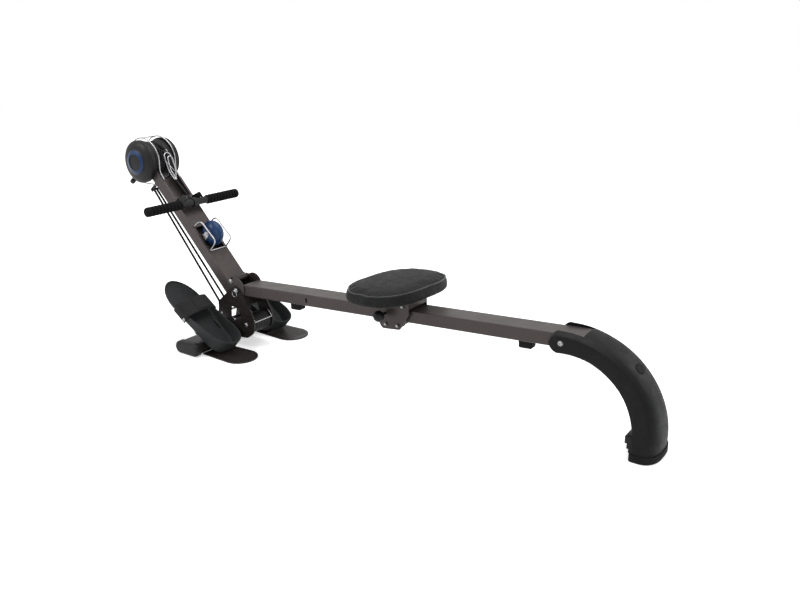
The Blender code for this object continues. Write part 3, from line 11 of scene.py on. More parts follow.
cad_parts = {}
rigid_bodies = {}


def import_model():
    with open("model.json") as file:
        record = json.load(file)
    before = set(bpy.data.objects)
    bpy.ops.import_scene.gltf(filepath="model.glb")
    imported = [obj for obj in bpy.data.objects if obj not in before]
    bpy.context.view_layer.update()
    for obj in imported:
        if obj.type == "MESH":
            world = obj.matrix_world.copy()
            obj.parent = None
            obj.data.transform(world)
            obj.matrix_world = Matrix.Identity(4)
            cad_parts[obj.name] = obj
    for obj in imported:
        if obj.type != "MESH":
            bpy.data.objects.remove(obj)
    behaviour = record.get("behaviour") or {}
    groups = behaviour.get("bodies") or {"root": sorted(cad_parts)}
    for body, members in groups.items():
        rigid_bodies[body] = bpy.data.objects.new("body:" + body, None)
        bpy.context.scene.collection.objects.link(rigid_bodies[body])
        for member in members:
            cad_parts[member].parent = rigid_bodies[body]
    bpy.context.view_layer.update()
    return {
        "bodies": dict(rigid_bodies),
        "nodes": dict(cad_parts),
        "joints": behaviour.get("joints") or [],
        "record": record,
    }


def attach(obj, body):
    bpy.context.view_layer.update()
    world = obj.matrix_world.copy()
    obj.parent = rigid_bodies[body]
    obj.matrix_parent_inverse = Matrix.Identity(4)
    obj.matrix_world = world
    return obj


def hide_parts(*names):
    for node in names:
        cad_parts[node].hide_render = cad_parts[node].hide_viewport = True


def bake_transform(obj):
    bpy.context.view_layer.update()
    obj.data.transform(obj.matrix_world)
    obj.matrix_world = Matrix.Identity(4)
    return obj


for old in list(bpy.data.objects):
    bpy.data.objects.remove(old, do_unlink=True)

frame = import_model()
nodes = frame["nodes"]

# Sizes and places, in metres, as the part's source has them
FIT = 0.0003
HINGE_Z, BEAM_DROP, BEAM_SLOPE = 0.2311, 0.0091, radians(3.5)
BEAM_WIDTH, BEAM_HEIGHT, BEAM_END = 0.080, 0.040, 1.310
POST_LEAN, POST_HALF, POST_DEPTH, HINGE_PROUD = radians(42.72), 0.0441, 0.040, 0.0097
TUBE_X, TUBE_HALF_LENGTH, TUBE_WIDTH, TUBE_HEIGHT = -0.050, 0.200, 0.104, 0.038
LOWER_AXLE, LOWER_RADIUS = (0.069, 0.0827), 0.034
DRUM_UP, DRUM_FRONT, DRUM_RADIUS, COVER_RADIUS = 0.562, -0.0317, 0.071, 0.0765
GROOVE_RADIUS, GUARD_RADIUS, WIRE, ROPE = 0.054, 0.083, 0.0021, 0.003
ROLLER_UP, ROLLER_FRONT, ROLLER_RADIUS, ROLLER_HALF = 0.190, 0.0237, 0.0455, 0.028
HANDLE_UP, HANDLE_FRONT, HANDLE_HALF, GRIP_LENGTH = 0.324, 0.0276, 0.2123, 0.152
PEDAL_SLOPE, PEDAL_TOE = radians(36.6), (-0.222, 0.207)
PEDAL_LENGTH, PEDAL_Y, PEDAL_AXLE = 0.350, 0.131, (0.215, -0.013)
SEAT_ALONG, SEAT_TURN = 0.688, radians(7)
LEG_HALF, FOOT_HALF, LEG_Z = 0.0605, 0.076, 0.045
LEG_X = (BEAM_END - 0.0607 + (HINGE_Z - LEG_Z) * sin(BEAM_SLOPE)) / cos(BEAM_SLOPE)
LEG_REACH = (HINGE_Z - LEG_Z) * cos(BEAM_SLOPE) + LEG_X * sin(BEAM_SLOPE) - BEAM_DROP
LEG_OUTER, LEG_INNER = LEG_REACH + 0.0087, LEG_REACH - BEAM_HEIGHT - 0.0073
LEG_FOOT_OUTER = LEG_OUTER + 0.012
POST_SIN, POST_COS = sin(POST_LEAN), cos(POST_LEAN)
FRONT_END = -DRUM_UP * POST_SIN + (DRUM_FRONT - HINGE_PROUD) * POST_COS - GUARD_RADIUS - WIRE
HINGE_X = -(FRONT_END + LEG_X + LEG_FOOT_OUTER + 0.003) / 2

# Sizes of the looks that more than one piece uses
BORE, BAR_RADIUS, BALL_RADIUS, STITCH = 0.0053, 0.0125, 0.0068, 0.0013
TOE, HEEL, STRAP_AT, SEAT_BASE = 0.100, 0.036, 0.146, 0.0343
SIDES = {"left": -1, "right": 1}

X = Vector((1, 0, 0))
Y = Vector((0, 1, 0))
UP = Vector((0, 0, 1))
POST_UP = Vector((-POST_SIN, 0, POST_COS))
POST_OUT = Vector((POST_COS, 0, POST_SIN))
BEAM_ALONG = Vector((cos(BEAM_SLOPE), 0, sin(BEAM_SLOPE)))
BEAM_UP = Vector((-sin(BEAM_SLOPE), 0, cos(BEAM_SLOPE)))
PEDAL_ALONG = Vector((cos(PEDAL_SLOPE), 0, -sin(PEDAL_SLOPE)))
PEDAL_UP = Vector((sin(PEDAL_SLOPE), 0, cos(PEDAL_SLOPE)))


def at(x, z, y=0.0):
    return Vector((HINGE_X + x, y, z))


def on_post(up, front, y=0.0):
    out = front - HINGE_PROUD
    return at(-up * POST_SIN + out * POST_COS, HINGE_Z + up * POST_COS + out * POST_SIN, y)


def on_beam(along, above, y=0.0):
    rise = above - BEAM_DROP
    return at(
        along * cos(BEAM_SLOPE) - rise * sin(BEAM_SLOPE),
        HINGE_Z + along * sin(BEAM_SLOPE) + rise * cos(BEAM_SLOPE),
        y,
    )


def on_pedal(along, above, y=0.0):
    x, z = PEDAL_TOE
    return at(x, z, y) + PEDAL_ALONG * along + PEDAL_UP * above


def pose(origin, x_axis, y_axis):
    turn = Matrix((x_axis, y_axis, x_axis.cross(y_axis))).transposed().to_4x4()
    return Matrix.Translation(origin) @ turn


def ray(angle, reach=1.0, y=0.0):
    return Vector((reach * cos(angle), y, reach * sin(angle)))


def axle_pose(centre, sign=1):
    """z along Y, or along -Y where sign is -1."""
    return pose(centre, Vector((0, 0, 1)), Vector((sign, 0, 0)))


DRUM = on_post(DRUM_UP, DRUM_FRONT)
ROLLER = on_post(ROLLER_UP, ROLLER_FRONT)
HANDLE = on_post(HANDLE_UP, HANDLE_FRONT)
LOWER = at(*LOWER_AXLE)
HINGE = at(0, HINGE_Z)
PIN = on_post(-0.0417, 0.0156)
PEDAL_PIVOT = on_pedal(*PEDAL_AXLE)
LEG = at(LEG_X, LEG_Z)
LEG_BOLT = on_beam(BEAM_END - 0.057, -BEAM_HEIGHT / 2)
BALL, HOOK_TOP = on_post(0.440, 0.0145), on_post(0.531, 0.0500)
CORD_FOOT, CORD_TOP = on_post(-0.058, -0.1119), on_post(0.478, -0.0970)


# Materials
def rgb(*colour):
    return (*colour, 1.0)


def shade(colour, by):
    return rgb(*(min(1, max(0, c * by)) for c in colour))


def feed(tree, socket, value):
    if isinstance(value, bpy.types.NodeSocket):
        tree.links.new(value, socket)
    else:
        socket.default_value = value


def add_node(tree, kind, inputs=None, **values):
    made = tree.nodes.new("ShaderNode" + kind)
    for key, value in values.items():
        setattr(made, key, value)
    for key, value in (inputs or {}).items():
        feed(tree, made.inputs[key], value)
    return made


# How strongly each finish mirrors, as its index of refraction
SHINE = {
    "black_plastic": 1.26, "leg_plastic": 1.22, "pedal_plastic": 1.24, "rubber": 1.18,
    "seat_edge": 1.4, "leatherette": 1.22, "foam": 1.12, "webbing": 1.14, "rope": 1.14,
    "elastic": 1.16, "painted_steel": 1.32, "dark_steel": 1.35, "blue_plastic": 1.3,
    "gloss_plastic": 1.12,
}
MATERIALS = {}


class Paint:
    """A material's node tree, with short ways to add nodes."""

    def __init__(self, name):
        self.name, self.material = name, bpy.data.materials.new(name)
        self.material.use_nodes = True
        self.tree = self.material.node_tree
        self.shader = self.tree.nodes["Principled BSDF"]
        place = self.node("TexCoord").outputs
        self.object, self.uv = place["Object"], place["UV"]

    def node(self, kind, inputs=None, **values):
        return add_node(self.tree, kind, inputs, **values)

    def noise(self, scale, detail=4.0, roughness=0.55):
        values = {"Vector": self.object, "Scale": scale, "Detail": detail, "Roughness": roughness}
        return self.node("TexNoise", values).outputs["Fac"]

    def math(self, operation, a, b=0.0):
        return self.node("Math", {0: a, 1: b}, operation=operation).outputs[0]

    def ripple(self, value):
        return self.math("ABSOLUTE", self.math("SINE", value))

    def span(self, value, low, high, start=0.3, end=0.7):
        values = {"Value": value, "From Min": start, "From Max": end, "To Min": low, "To Max": high}
        return self.node("MapRange", values).outputs[0]

    def mix(self, share, a, b):
        return self.node("Mix", {0: share, 6: a, 7: b}, data_type="RGBA").outputs[2]

    def dark_to_light(self, share, colour, spread):
        """From a darker to a lighter shade of the colour."""
        return self.mix(share, shade(colour, 1 - spread), shade(colour, 1 + spread))

    def finish(self, colour, smudges, low, high, heights, more=()):
        """Sets the colour, a roughness spread by noise, and bumps: a row of (value, metres)."""
        values = {"Base Color": colour, "IOR": SHINE.get(self.name, 1.5)}
        values["Roughness"] = self.span(self.noise(*smudges), low, high)
        values.update(more)
        for value, metres in heights:
            bump = {"Height": value, "Distance": metres, "Strength": 1.0}
            if "Normal" in values:
                bump["Normal"] = values["Normal"]
            values["Normal"] = self.node("Bump", bump).outputs[0]
        for key, value in values.items():
            feed(self.tree, self.shader.inputs[key], value)
        MATERIALS[self.name] = self.material


def moulded(name, colour, roughness, grain=900, depth=0.00006, spread=0.14, blotch=14):
    """Moulded plastic: fine spark-eroded grain, faint mottling and a little dust."""
    paint = Paint(name)
    broad, fine = paint.noise(blotch, 5), paint.noise(grain, 3, 0.6)
    colours = paint.dark_to_light(paint.span(broad, 0, 1), colour, spread)
    dust = paint.span(paint.noise(60, 8, 0.7), 0, 0.10, 0.55, 0.8)
    colours = paint.mix(dust, colours, rgb(0.09, 0.09, 0.09))
    heights = [(fine, depth), (broad, depth * 1.5)]
    paint.finish(colours, (35, 6), roughness - 0.07, roughness + 0.08, heights)


def painted_steel(name, colour, flake):
    """Brown-grey powder paint with metal flakes, edge wear and a light orange peel."""
    paint = Paint(name)
    colours = paint.dark_to_light(paint.span(paint.noise(7, 4), 0, 1), colour, 0.07)
    flakes = paint.node("TexVoronoi", {"Vector": paint.object, "Scale": 2600.0}).outputs["Color"]
    colours = paint.mix(paint.span(flakes, 0, 0.22, 0.6, 1.0), colours, rgb(*flake))
    corner = paint.span(paint.node("NewGeometry").outputs["Pointiness"], 0, 1, 0.52, 0.60)
    worn = paint.math("MULTIPLY", corner, paint.span(paint.noise(45, 6), 0, 0.12))
    colours = paint.mix(worn, colours, rgb(0.17, 0.15, 0.145))
    peel = [(paint.noise(420, 2, 0.5), 0.00008), (paint.noise(5200, 2), 0.00001)]
    paint.finish(colours, (18, 6), 0.34, 0.44, peel, {"Metallic": 0.45})


def bright_metal(name, colour, low, high, scratch):
    """Plated metal: soft smudges and fine scratches."""
    paint = Paint(name)
    colours = paint.dark_to_light(paint.span(paint.noise(60, 6), 0, 1), colour, 0.07)
    scratches = [(paint.noise(scratch, 3, 0.7), 0.00001)]
    paint.finish(colours, (130, 7, 0.65), low, high, scratches, {"Metallic": 1.0})


def blue_plastic():
    paint = Paint("blue_plastic")
    broad = paint.span(paint.noise(9, 3), 0, 1)
    colours = paint.mix(broad, rgb(0.006, 0.022, 0.075), rgb(0.014, 0.050, 0.135))
    paint.finish(colours, (50, 6), 0.22, 0.36, [(paint.noise(700, 3), 0.00004)])


def leatherette():
    """Vinyl with a fine pebble grain, painted shade in the grain's creases, and soft wear."""
    paint = Paint("leatherette")
    values = {"Vector": paint.object, "Scale": 560.0}
    cells = paint.node("TexVoronoi", values, feature="DISTANCE_TO_EDGE").outputs[0]
    broad = paint.noise(9, 5)
    dark, light = rgb(0.0058, 0.0060, 0.0060), rgb(0.0125, 0.0128, 0.0128)
    colours = paint.mix(paint.span(broad, 0, 1), dark, light)
    # The grain's creases are painted darker: painted shade.
    colours = paint.mix(paint.span(cells, 0.35, 0, 0.0, 0.12), colours, rgb(0.004, 0.004, 0.004))
    creases = paint.span(cells, 0, 1, 0.0, 0.16)
    heights = [(creases, 0.00012), (paint.noise(130, 4), 0.0003), (broad, 0.0010)]
    paint.finish(colours, (40, 6), 0.50, 0.64, heights)


def foam():
    paint = Paint("foam")
    pores = paint.noise(1500, 3, 0.7)
    dark, light = rgb(0.004, 0.004, 0.004), rgb(0.017, 0.017, 0.017)
    colours = paint.mix(paint.span(pores, 0, 1), dark, light)
    heights = [(pores, 0.00025), (paint.noise(300, 4), 0.0002)]
    paint.finish(colours, (70, 5), 0.72, 0.90, heights)


def woven(name, colour, across, along):
    """Webbing: two sets of threads by the piece's own width and length, in metres."""
    paint = Paint(name)
    parts = paint.node("SeparateXYZ", {0: paint.uv}).outputs
    warp = paint.ripple(paint.math("MULTIPLY", parts[0], pi / across))
    weft = paint.ripple(paint.math("MULTIPLY", parts[1], pi / along))
    weft = paint.math("ADD", paint.math("MULTIPLY", weft, 0.5), 0.5)
    threads, fuzz = paint.math("MULTIPLY", warp, weft), paint.noise(900, 4, 0.7)
    # The colour follows the threads' height, darker down between them: painted shade in the weave's
    # gaps.
    colours = paint.dark_to_light(threads, colour, 0.35)
    colours = paint.mix(paint.span(fuzz, 0, 0.25), colours, rgb(0.05, 0.05, 0.05))
    heights = [(threads, 0.00018), (fuzz, 0.00005)]
    paint.finish(colours, (60, 5), 0.66, 0.84, heights, {"Sheen Weight": 0.12})


def braided(name, colour, strands, pitch):
    """A braid: strands round the cord, crossing once in each pitch."""
    paint = Paint(name)
    parts = paint.node("SeparateXYZ", {0: paint.uv}).outputs
    turn = paint.math("MULTIPLY", parts[0], pi * strands)
    run = paint.math("MULTIPLY", parts[1], pi / pitch)
    left, right = (paint.ripple(paint.math(way, turn, run)) for way in ("ADD", "SUBTRACT"))
    weave = paint.math("MAXIMUM", left, right)
    heights = [(weave, 0.0003), (paint.noise(2500, 3), 0.00005)]
    # The colour follows the strands' height, darker down between them: painted shade in the braid's
    # grooves.
    paint.finish(paint.dark_to_light(weave, colour, 0.4), (80, 5), 0.6, 0.8, heights)


painted_steel("painted_steel", (0.050, 0.0405, 0.039), (0.15, 0.13, 0.125))
painted_steel("dark_steel", (0.021, 0.0165, 0.016), (0.08, 0.068, 0.065))
moulded("gloss_plastic", (0.0015, 0.0015, 0.0015), 0.45, 500, 0.00001)
moulded("seat_edge", (0.020, 0.020, 0.0205), 0.34, 700, 0.00006)
moulded("black_plastic", (0.0105, 0.0105, 0.0108), 0.42)
moulded("leg_plastic", (0.0058, 0.0059, 0.0060), 0.52, 1100, 0.00008)
moulded("pedal_plastic", (0.024, 0.0255, 0.026), 0.56, 650, 0.00012)
moulded("rubber", (0.013, 0.013, 0.013), 0.72, 500, 0.00010, 0.2, 25)
bright_metal("chrome", (0.36, 0.36, 0.37), 0.12, 0.24, 900)
bright_metal("zinc", (0.30, 0.30, 0.31), 0.26, 0.40, 700)
blue_plastic()
leatherette()
foam()
woven("webbing", (0.015, 0.015, 0.016), 0.0011, 0.0014)
braided("rope", (0.024, 0.024, 0.026), 8, 0.0042)
braided("elastic", (0.012, 0.012, 0.012), 10, 0.0034)


# Shapes
def smooth_path(points, per=5):
    """A Catmull-Rom curve through the points."""
    last, made = len(points) - 1, []
    for i in range(last):
        a, b, c, d = (points[min(max(k, 0), last)] for k in range(i - 1, i + 3))
        for k in range(per):
            t = k / per
            even = 2 * b + (c - a) * t + (2 * a - 5 * b + 4 * c - d) * t * t
            made.append(0.5 * (even + (3 * b - a - 3 * c + d) * t**3))
    return made + [points[-1]]


def arc(centre, radius, start, end, steps):
    angles = [radians(start + (end - start) * i / steps) for i in range(steps + 1)]
    return [(centre[0] + radius * cos(t), centre[1] + radius * sin(t)) for t in angles]


def long_round(length, width, steps):
    """The outline of a slot with round ends."""
    reach, r = (length - width) / 2, width / 2
    return arc((reach, 0), r, -90, 90, steps) + arc((-reach, 0), r, 90, 270, steps)


def turns(count):
    return [2 * pi * i / count for i in range(count)]


def rod(centre, half):
    """The ends of a straight piece across the row frame."""
    return [centre - Y * half, centre + Y * half]


def line(start, end, steps):
    return [start.lerp(end, i / steps) for i in range(steps + 1)]


def mirrored(profile):
    """The profile, then its other half below the middle."""
    return profile + [(radius, -height) for radius, height in reversed(profile)]


def add_object(name, data):
    made = bpy.data.objects.new(name, data)
    bpy.context.scene.collection.objects.link(made)
    return made


class Shape:
    """A mesh in the row frame, made of tubes, turned pieces and lofts."""

    def __init__(self):
        self.points, self.faces, self.uvs = [], [], []

    def grid(self, rings, closed_ring=True, closed_run=False, uv=None):
        start, size, count = len(self.points), len(rings[0]), len(rings)
        for ring in rings:
            self.points += [Vector(p) for p in ring]
        runs = count if closed_run else count - 1
        around = size if closed_ring else size - 1
        for i in range(runs):
            for j in range(around):
                k, m = (i + 1) % count, (j + 1) % size
                face = [i * size + j, i * size + m, k * size + m, k * size + j]
                self.faces.append([start + f for f in face])
                if uv:
                    self.uvs.append([uv(i, j), uv(i, j + 1), uv(i + 1, j + 1), uv(i + 1, j)])
                else:
                    self.uvs.append([(0, 0)] * 4)
        if not closed_run:
            for i in (0, count - 1):
                self.faces.append([start + i * size + j for j in range(size)])
                self.uvs.append([(0, 0)] * size)
        return self

    def tube(self, path, radius, sides=14, closed=False, ends=True):
        """A round tube, with domed tips where it's open and ends is set."""
        path = [Vector(p) for p in path]
        count = len(path)
        ways = []
        for i in range(count):
            if closed:
                ways.append((path[(i + 1) % count] - path[i - 1]).normalized())
            else:
                ways.append((path[min(i + 1, count - 1)] - path[max(i - 1, 0)]).normalized())
        side = ways[0].orthogonal().normalized()
        rings, lengths, run = [], [], 0.0
        for i, (here, way) in enumerate(zip(path, ways)):
            side = (side - way * side.dot(way)).normalized()
            other = way.cross(side)
            if i:
                run += (here - path[i - 1]).length
            lengths.append(run)
            rings.append([here + (side * cos(t) + other * sin(t)) * radius for t in turns(sides)])
        if closed:
            lengths.append(run + (path[0] - path[-1]).length)
        elif ends:
            for place, way, ring in ((0, -ways[0], rings[0]), (-1, ways[-1], rings[-1])):
                size = (ring[0] - path[place]).length
                tips = []
                for push, shrink in ((0.35, 0.92), (0.75, 0.60)):
                    middle = path[place] + way * size * push
                    tips.append([middle + (p - path[place]) * shrink for p in ring])
                if place == 0:
                    rings = tips[::-1] + rings
                    lengths = [-size, -size / 2] + lengths
                else:
                    rings += tips
                    lengths += [run + size / 2, run + size]
        last = len(lengths) - 1
        return self.grid(rings, True, closed, uv=lambda i, j: (j / sides, lengths[min(i, last)]))

    def lathe(self, profile, place, steps=48, closed=False, wave=None):
        """A turned piece: (radius, height) points round place's z axis."""
        rings = []
        for turn in turns(steps):
            ring = []
            for radius, height in profile:
                size = radius + (wave(turn, radius, height) if wave else 0)
                ring.append(place @ Vector((size * cos(turn), size * sin(turn), height)))
            rings.append(ring)
        return self.grid(rings, closed, True, uv=lambda i, j: (i / steps, j * 0.001))

    def box(self, place, size, round_by=0.0008):
        x, y, z = (s / 2 for s in size)
        r = min(round_by, x * 0.45, y * 0.45, z * 0.45)
        a, b = x - r, y - r
        outline = []
        for centre, first in (((a, b), 0), ((-a, b), 90), ((-a, -b), 180), ((a, -b), 270)):
            outline += arc(centre, r, first, first + 90, 3)
        edge = [(-z, r), (-z + r * 0.3, r * 0.3), (-z + r, 0)]
        rings = []
        for height, inset in edge + [(-h, i) for h, i in reversed(edge)]:
            across, along = (x - inset) / x, (y - inset) / y
            rings.append([place @ Vector((p * across, q * along, height)) for p, q in outline])
        return self.grid(rings)

    def make(self, name, material, body, replaces=(), smooth=38, slot=None):
        mesh = bpy.data.meshes.new(name)
        mesh.from_pydata(self.points, [], self.faces)
        layer = mesh.uv_layers.new(name="weave")
        for index, corner in enumerate(corner for face in self.uvs for corner in face):
            layer.data[index].uv = corner
        work = bmesh.new()
        work.from_mesh(mesh)
        bmesh.ops.remove_doubles(work, verts=work.verts, dist=0.000002)
        bmesh.ops.recalc_face_normals(work, faces=work.faces)
        work.to_mesh(mesh)
        work.free()
        mesh.shade_smooth()
        mesh.set_sharp_from_angle(angle=radians(smooth))
        return settle(add_object(name, mesh), material, body, replaces)

    def stand(self, name, material, body, smooth=38):
        """A piece in the place of the node of this name."""
        return self.make(name + "_look", material, body, [name], smooth)


def turned(name, material, body, profile, place, steps, closed=True, wave=None):
    Shape().lathe(profile, place, steps, closed, wave).stand(name, material, body)


def settle(obj, material, body, replaces=()):
    obj.data.materials.clear()
    obj.data.materials.append(MATERIALS[material])
    if body:
        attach(obj, body)
        if replaces:
            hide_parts(*replaces)
    return obj


def bake(obj):
    """Applies the object's modifiers."""
    bpy.context.view_layer.update()
    graph = bpy.context.evaluated_depsgraph_get()
    mesh = bpy.data.meshes.new_from_object(obj.evaluated_get(graph))
    obj.modifiers.clear()
    obj.data = mesh


def carve(obj, *cutters):
    """Cuts these from the object, and removes them."""
    for tool in cutters:
        step = obj.modifiers.new("cut", "BOOLEAN")
        step.operation, step.solver, step.object = "DIFFERENCE", "EXACT", tool
    bake(obj)
    for tool in cutters:
        bpy.data.objects.remove(tool, do_unlink=True)
    obj.data.shade_smooth()
    obj.data.set_sharp_from_angle(angle=radians(32))


def cutter(shape):
    return shape.make("cutter", "rubber", None)


# CAD pieces that stay: finer edges and their own finish
CARRIED = {
    "painted_steel": "post beam seat_carriage",
    "dark_steel": "base_cheek_left base_cheek_right cross_tube standing_plate_left "
    "standing_plate_right hinge_bracket",
    "black_plastic": "handle_rest rope_eye",
    "rubber": "stop_front stop_rear",
    "zinc": "cord_anchor_bottom roller_bracket",
}
EDGE = {"standing_plate_left": 0.0012, "standing_plate_right": 0.0012, "handle_rest": 0.0006}
for material, names in CARRIED.items():
    for name in names.split():
        obj = nodes[name]
        obj.data.materials.clear()
        obj.data.materials.append(MATERIALS[material])
        obj.modifiers.new("weld", "WELD").merge_threshold = 0.00001
        edge = obj.modifiers.new("edges", "BEVEL")
        edge.width, edge.segments = EDGE.get(name, 0.0007), 3
        edge.limit_method, edge.angle_limit = "ANGLE", radians(38)
        edge.harden_normals = True


# Bolts: domed heads with a hexagon socket, on washers
def hexagon(turn):
    """From 0 at a corner to 1 in the middle of a side."""
    return 0.5 - 0.5 * cos(6 * turn)


def bolt(name, centre, grip, body, radius=0.005, head=0.0072, height=0.005):
    shape = Shape().tube(rod(centre, grip), radius, 24, ends=False)
    socket = head * 0.42

    def wave(t, r, h):
        return -0.13 * r * hexagon(t) if r < socket * 1.02 and h > FIT else 0

    for sign in SIDES.values():
        place = axle_pose(centre + Y * sign * grip, sign)
        dome = [(0, FIT), (head, FIT), (head, height * 0.22)]
        for angle in (12, 28, 44, 60, 74):
            t = radians(angle)
            dome.append((head * cos(t) * 0.98 + 0.0001, height * (0.22 + 0.78 * sin(t))))
        dome += [(socket * 1.05, height * 0.985), (socket, height * 0.9)]
        dome += [(socket * 0.96, height * 0.35), (0, height * 0.3)]
        shape.lathe(dome, place, wave=wave)
        rim = head * 1.20
        washer = [(radius, 0), (rim, 0), (head * 1.22, FIT * 0.5), (rim, FIT), (radius, FIT)]
        shape.lathe(washer, place, 40, True)
    shape.stand(name, "zinc", body)


bolt("lower_axle", LOWER, POST_HALF + FIT + 0.004, "base")
bolt("pivot_bolt", HINGE, POST_HALF, "base")
bolt("drum_axle", DRUM, POST_HALF, "base", height=0.006)
bolt("pedal_axle", PEDAL_PIVOT, PEDAL_Y + 0.0345, "base", 0.006, 0.0105)
bolt("leg_bolt", LEG_BOLT, LEG_HALF, "beam_frame", head=0.0062, height=0.0045)


# Drum, covers, winding and guard
def drum():
    half, groove = POST_HALF - 0.003 - 0.0012, 0.01325
    drops = [(0.004, half), (0.001, half - 0.001), (0, half - 0.003), (0, half * 0.72)]
    drops += [(0.0012, half * 0.70), (0.002, half * 0.67), (0.002, groove + 0.006)]
    drops += [(0.0028, groove + 0.0038), (0.006, groove + 0.0012)]
    profile = [(0.012, half)] + [(DRUM_RADIUS - drop, height) for drop, height in drops]
    profile = mirrored(profile + [(GROOVE_RADIUS, groove)]) + [(BORE, -half), (BORE, half)]
    shape = Shape().lathe(profile, axle_pose(DRUM), 96, True)
    shape.make("drum_look", "black_plastic", "drum", ["drum_pulley"])

    rounds, steps = 2.5, 48
    pitch, radius = 2 * ROPE + 0.0005, GROOVE_RADIUS + ROPE + 2 * FIT
    path = []
    for i in range(int(rounds * steps) + 1):
        angle = -2 * pi * i / steps
        path.append(DRUM + ray(angle, radius, pitch * (i / steps - rounds / 2)))
    Shape().tube(path, ROPE).make("winding_look", "rope", "drum", ["rope_winding"])

    band, top, edge = 0.017, 0.036, COVER_RADIUS
    face = [
        (0, 0), (0.010, -0.0002), (0.024, -0.0008), (0.0275, -0.0012), (0.0283, -0.0006),
        (0.0294, 0.0004), (0.033, 0), (0.0365, -0.0012), (0.041, -0.0028), (0.0437, -0.0040),
        (0.0448, -0.0052), (0.0462, -0.0062), (0.052, -0.0075), (edge - 0.016, -0.0096),
        (edge - 0.010, -0.0122), (edge - 0.005, -0.0152), (edge - 0.0022, -0.0176),
    ]
    rim = [
        (0.0006, band - 0.0006), (0, band - 0.003), (0, 0.0045), (0.0004, 0.004), (0.0004, 0.0026),
        (0, 0.0020), (0, 0.0004), (0.0004, 0), (0.003, 0), (0.005, band - 0.002),
        (0.016, band + 0.004),
    ]
    cover = [(r, top + h) for r, h in face] + [(edge - r, h) for r, h in rim] + [(0, top - 0.0065)]
    for side, sign in SIDES.items():
        place = axle_pose(DRUM + Y * sign * (POST_HALF + FIT), sign)
        turned("drum_cover_" + side, "black_plastic", "base", cover, place, 120, False)
    ring = [
        (0.0296, 0.0002), (0.0298, 0.0012), (0.0306, 0.0016), (0.0345, 0.0004), (0.0405, -0.0018),
        (0.0428, -0.0026), (0.0436, -0.0034), (0.0436, -0.0044), (0.036, -0.002),
    ]
    place = axle_pose(DRUM - Y * (POST_HALF + FIT), -1)
    shape = Shape().lathe([(r, top + h) for r, h in ring], place, 120, True)
    shape.make("drum_ring", "blue_plastic", "base")


def drum_guard():
    shape, half, start = Shape(), 0.0365, degrees(POST_LEAN) - 32
    for y in (-half, half):
        feet = ((0.452, WIRE + FIT), (0.470, WIRE + 0.003), (0.486, 0.010))
        points = [on_post(up, front, y) for up, front in feet]
        points += [DRUM + ray(radians(start + i * 247 / 20), GUARD_RADIUS, y) for i in range(21)]
        points.append(on_post(0.470, -POST_DEPTH - 0.012, y))
        points.append(on_post(0.455, -POST_DEPTH - WIRE - FIT, y))
        shape.tube(smooth_path(points), WIRE)
    top = DRUM + ray(radians(104), GUARD_RADIUS)
    shape.tube(rod(top, half), WIRE * 0.95)
    shape.stand("drum_guard", "chrome", "base")


def knob():
    below = 0.018
    rim = sqrt(COVER_RADIUS**2 - below**2) + 0.001
    place = DRUM - POST_UP * below + Y * (-POST_HALF - 0.007)
    profile = [(0, 0), (0.003, 0), (0.003, 0.0072), (0.0075, 0.0076), (0.0086, 0.0090)]
    profile += [(0.0088, 0.012), (0.0088, 0.0225), (0.0082, 0.0248), (0.0068, 0.0258), (0, 0.026)]

    def ribs(t, r, h):
        return 0.0004 * cos(12 * t) if r > 0.008 and 0.009 < h < 0.024 else 0

    frame = pose(place - POST_OUT * rim, POST_UP, Y)
    turned("tension_knob", "black_plastic", "drum_knob", profile, frame, 72, False, ribs)


drum()
drum_guard()
knob()


# Blue rope roller, lower roller and their guards
def middle_roller():
    half, steep = ROLLER_HALF, radians(66)
    hub = [(BORE, 0), (0.016, 0), (0.018, 0.0004), (0.0185, 0.0016), (0.024, 0.0018)]
    profile = [(r, half - drop) for r, drop in hub]
    for angle in range(66, -1, -6):
        t = radians(angle)
        height = (half - 0.002) * sin(t) / sin(steep)
        profile.append((ROLLER_RADIUS * cos(t) ** 0.92, height))
    profile += [(r, -h) for r, h in reversed(profile[:-1])]
    turned("middle_roller", "blue_plastic", "rope_roller_middle", profile, axle_pose(ROLLER), 96)

    rest, y = WIRE + FIT, POST_HALF - 0.0066
    bends = [
        (0.1070, rest), (0.1065, 0.016), (0.1050, 0.030), (0.1000, 0.0395), (0.0900, 0.0445),
        (0.0680, 0.0465), (0.0460, 0.0480), (0.0250, 0.0505), (0.0140, 0.0500), (0.0070, 0.0440),
        (0.0030, 0.0330), (0.0010, 0.016), (0.0, rest),
    ]
    shape, low = Shape(), ROLLER_UP - 0.054
    for sign in SIDES.values():
        points = [on_post(low + up, front, sign * y) for up, front in bends]
        shape.tube(smooth_path(points), 0.0025)
    shape.tube(rod(on_post(low, rest), y), WIRE * 0.95)
    shape.stand("roller_guard", "chrome", "base")


def lower_roller():
    half, radius, grooves, depth = POST_HALF + FIT - 0.003, LOWER_RADIUS, 6, 0.0022
    pitch = 2 * (half - 0.002) / grooves
    end = [(BORE, half), (radius - 0.002, half)]
    end += [(radius - 0.0005, half - 0.0006), (radius, half - 0.002)]
    wall = [(0.30, 0), (0.24, 0.15), (0.16, 0.85), (0.10, 1)]
    groove = wall + [(-across, share) for across, share in reversed(wall)]
    profile = list(end)
    for i in range(grooves):
        middle = half - 0.002 - (i + 0.5) * pitch
        profile += [(radius - depth * share, middle + pitch * across) for across, share in groove]
    profile += [(r, -h) for r, h in reversed(end)]
    turned("lower_roller", "black_plastic", "rope_roller_low", profile, axle_pose(LOWER), 72)
    ring, y = radius + 0.0065, POST_HALF + FIT - WIRE - FIT
    angles = [radians(angle) for angle in (62, 51, 40, 31, 22)]
    near = [LOWER + ray(t, ring, -y) for t in angles]
    far = [LOWER + ray(t, ring, y) for t in reversed(angles)]
    Shape().tube(near + far, WIRE).stand("lower_guard", "chrome", "base")


middle_roller()
lower_roller()


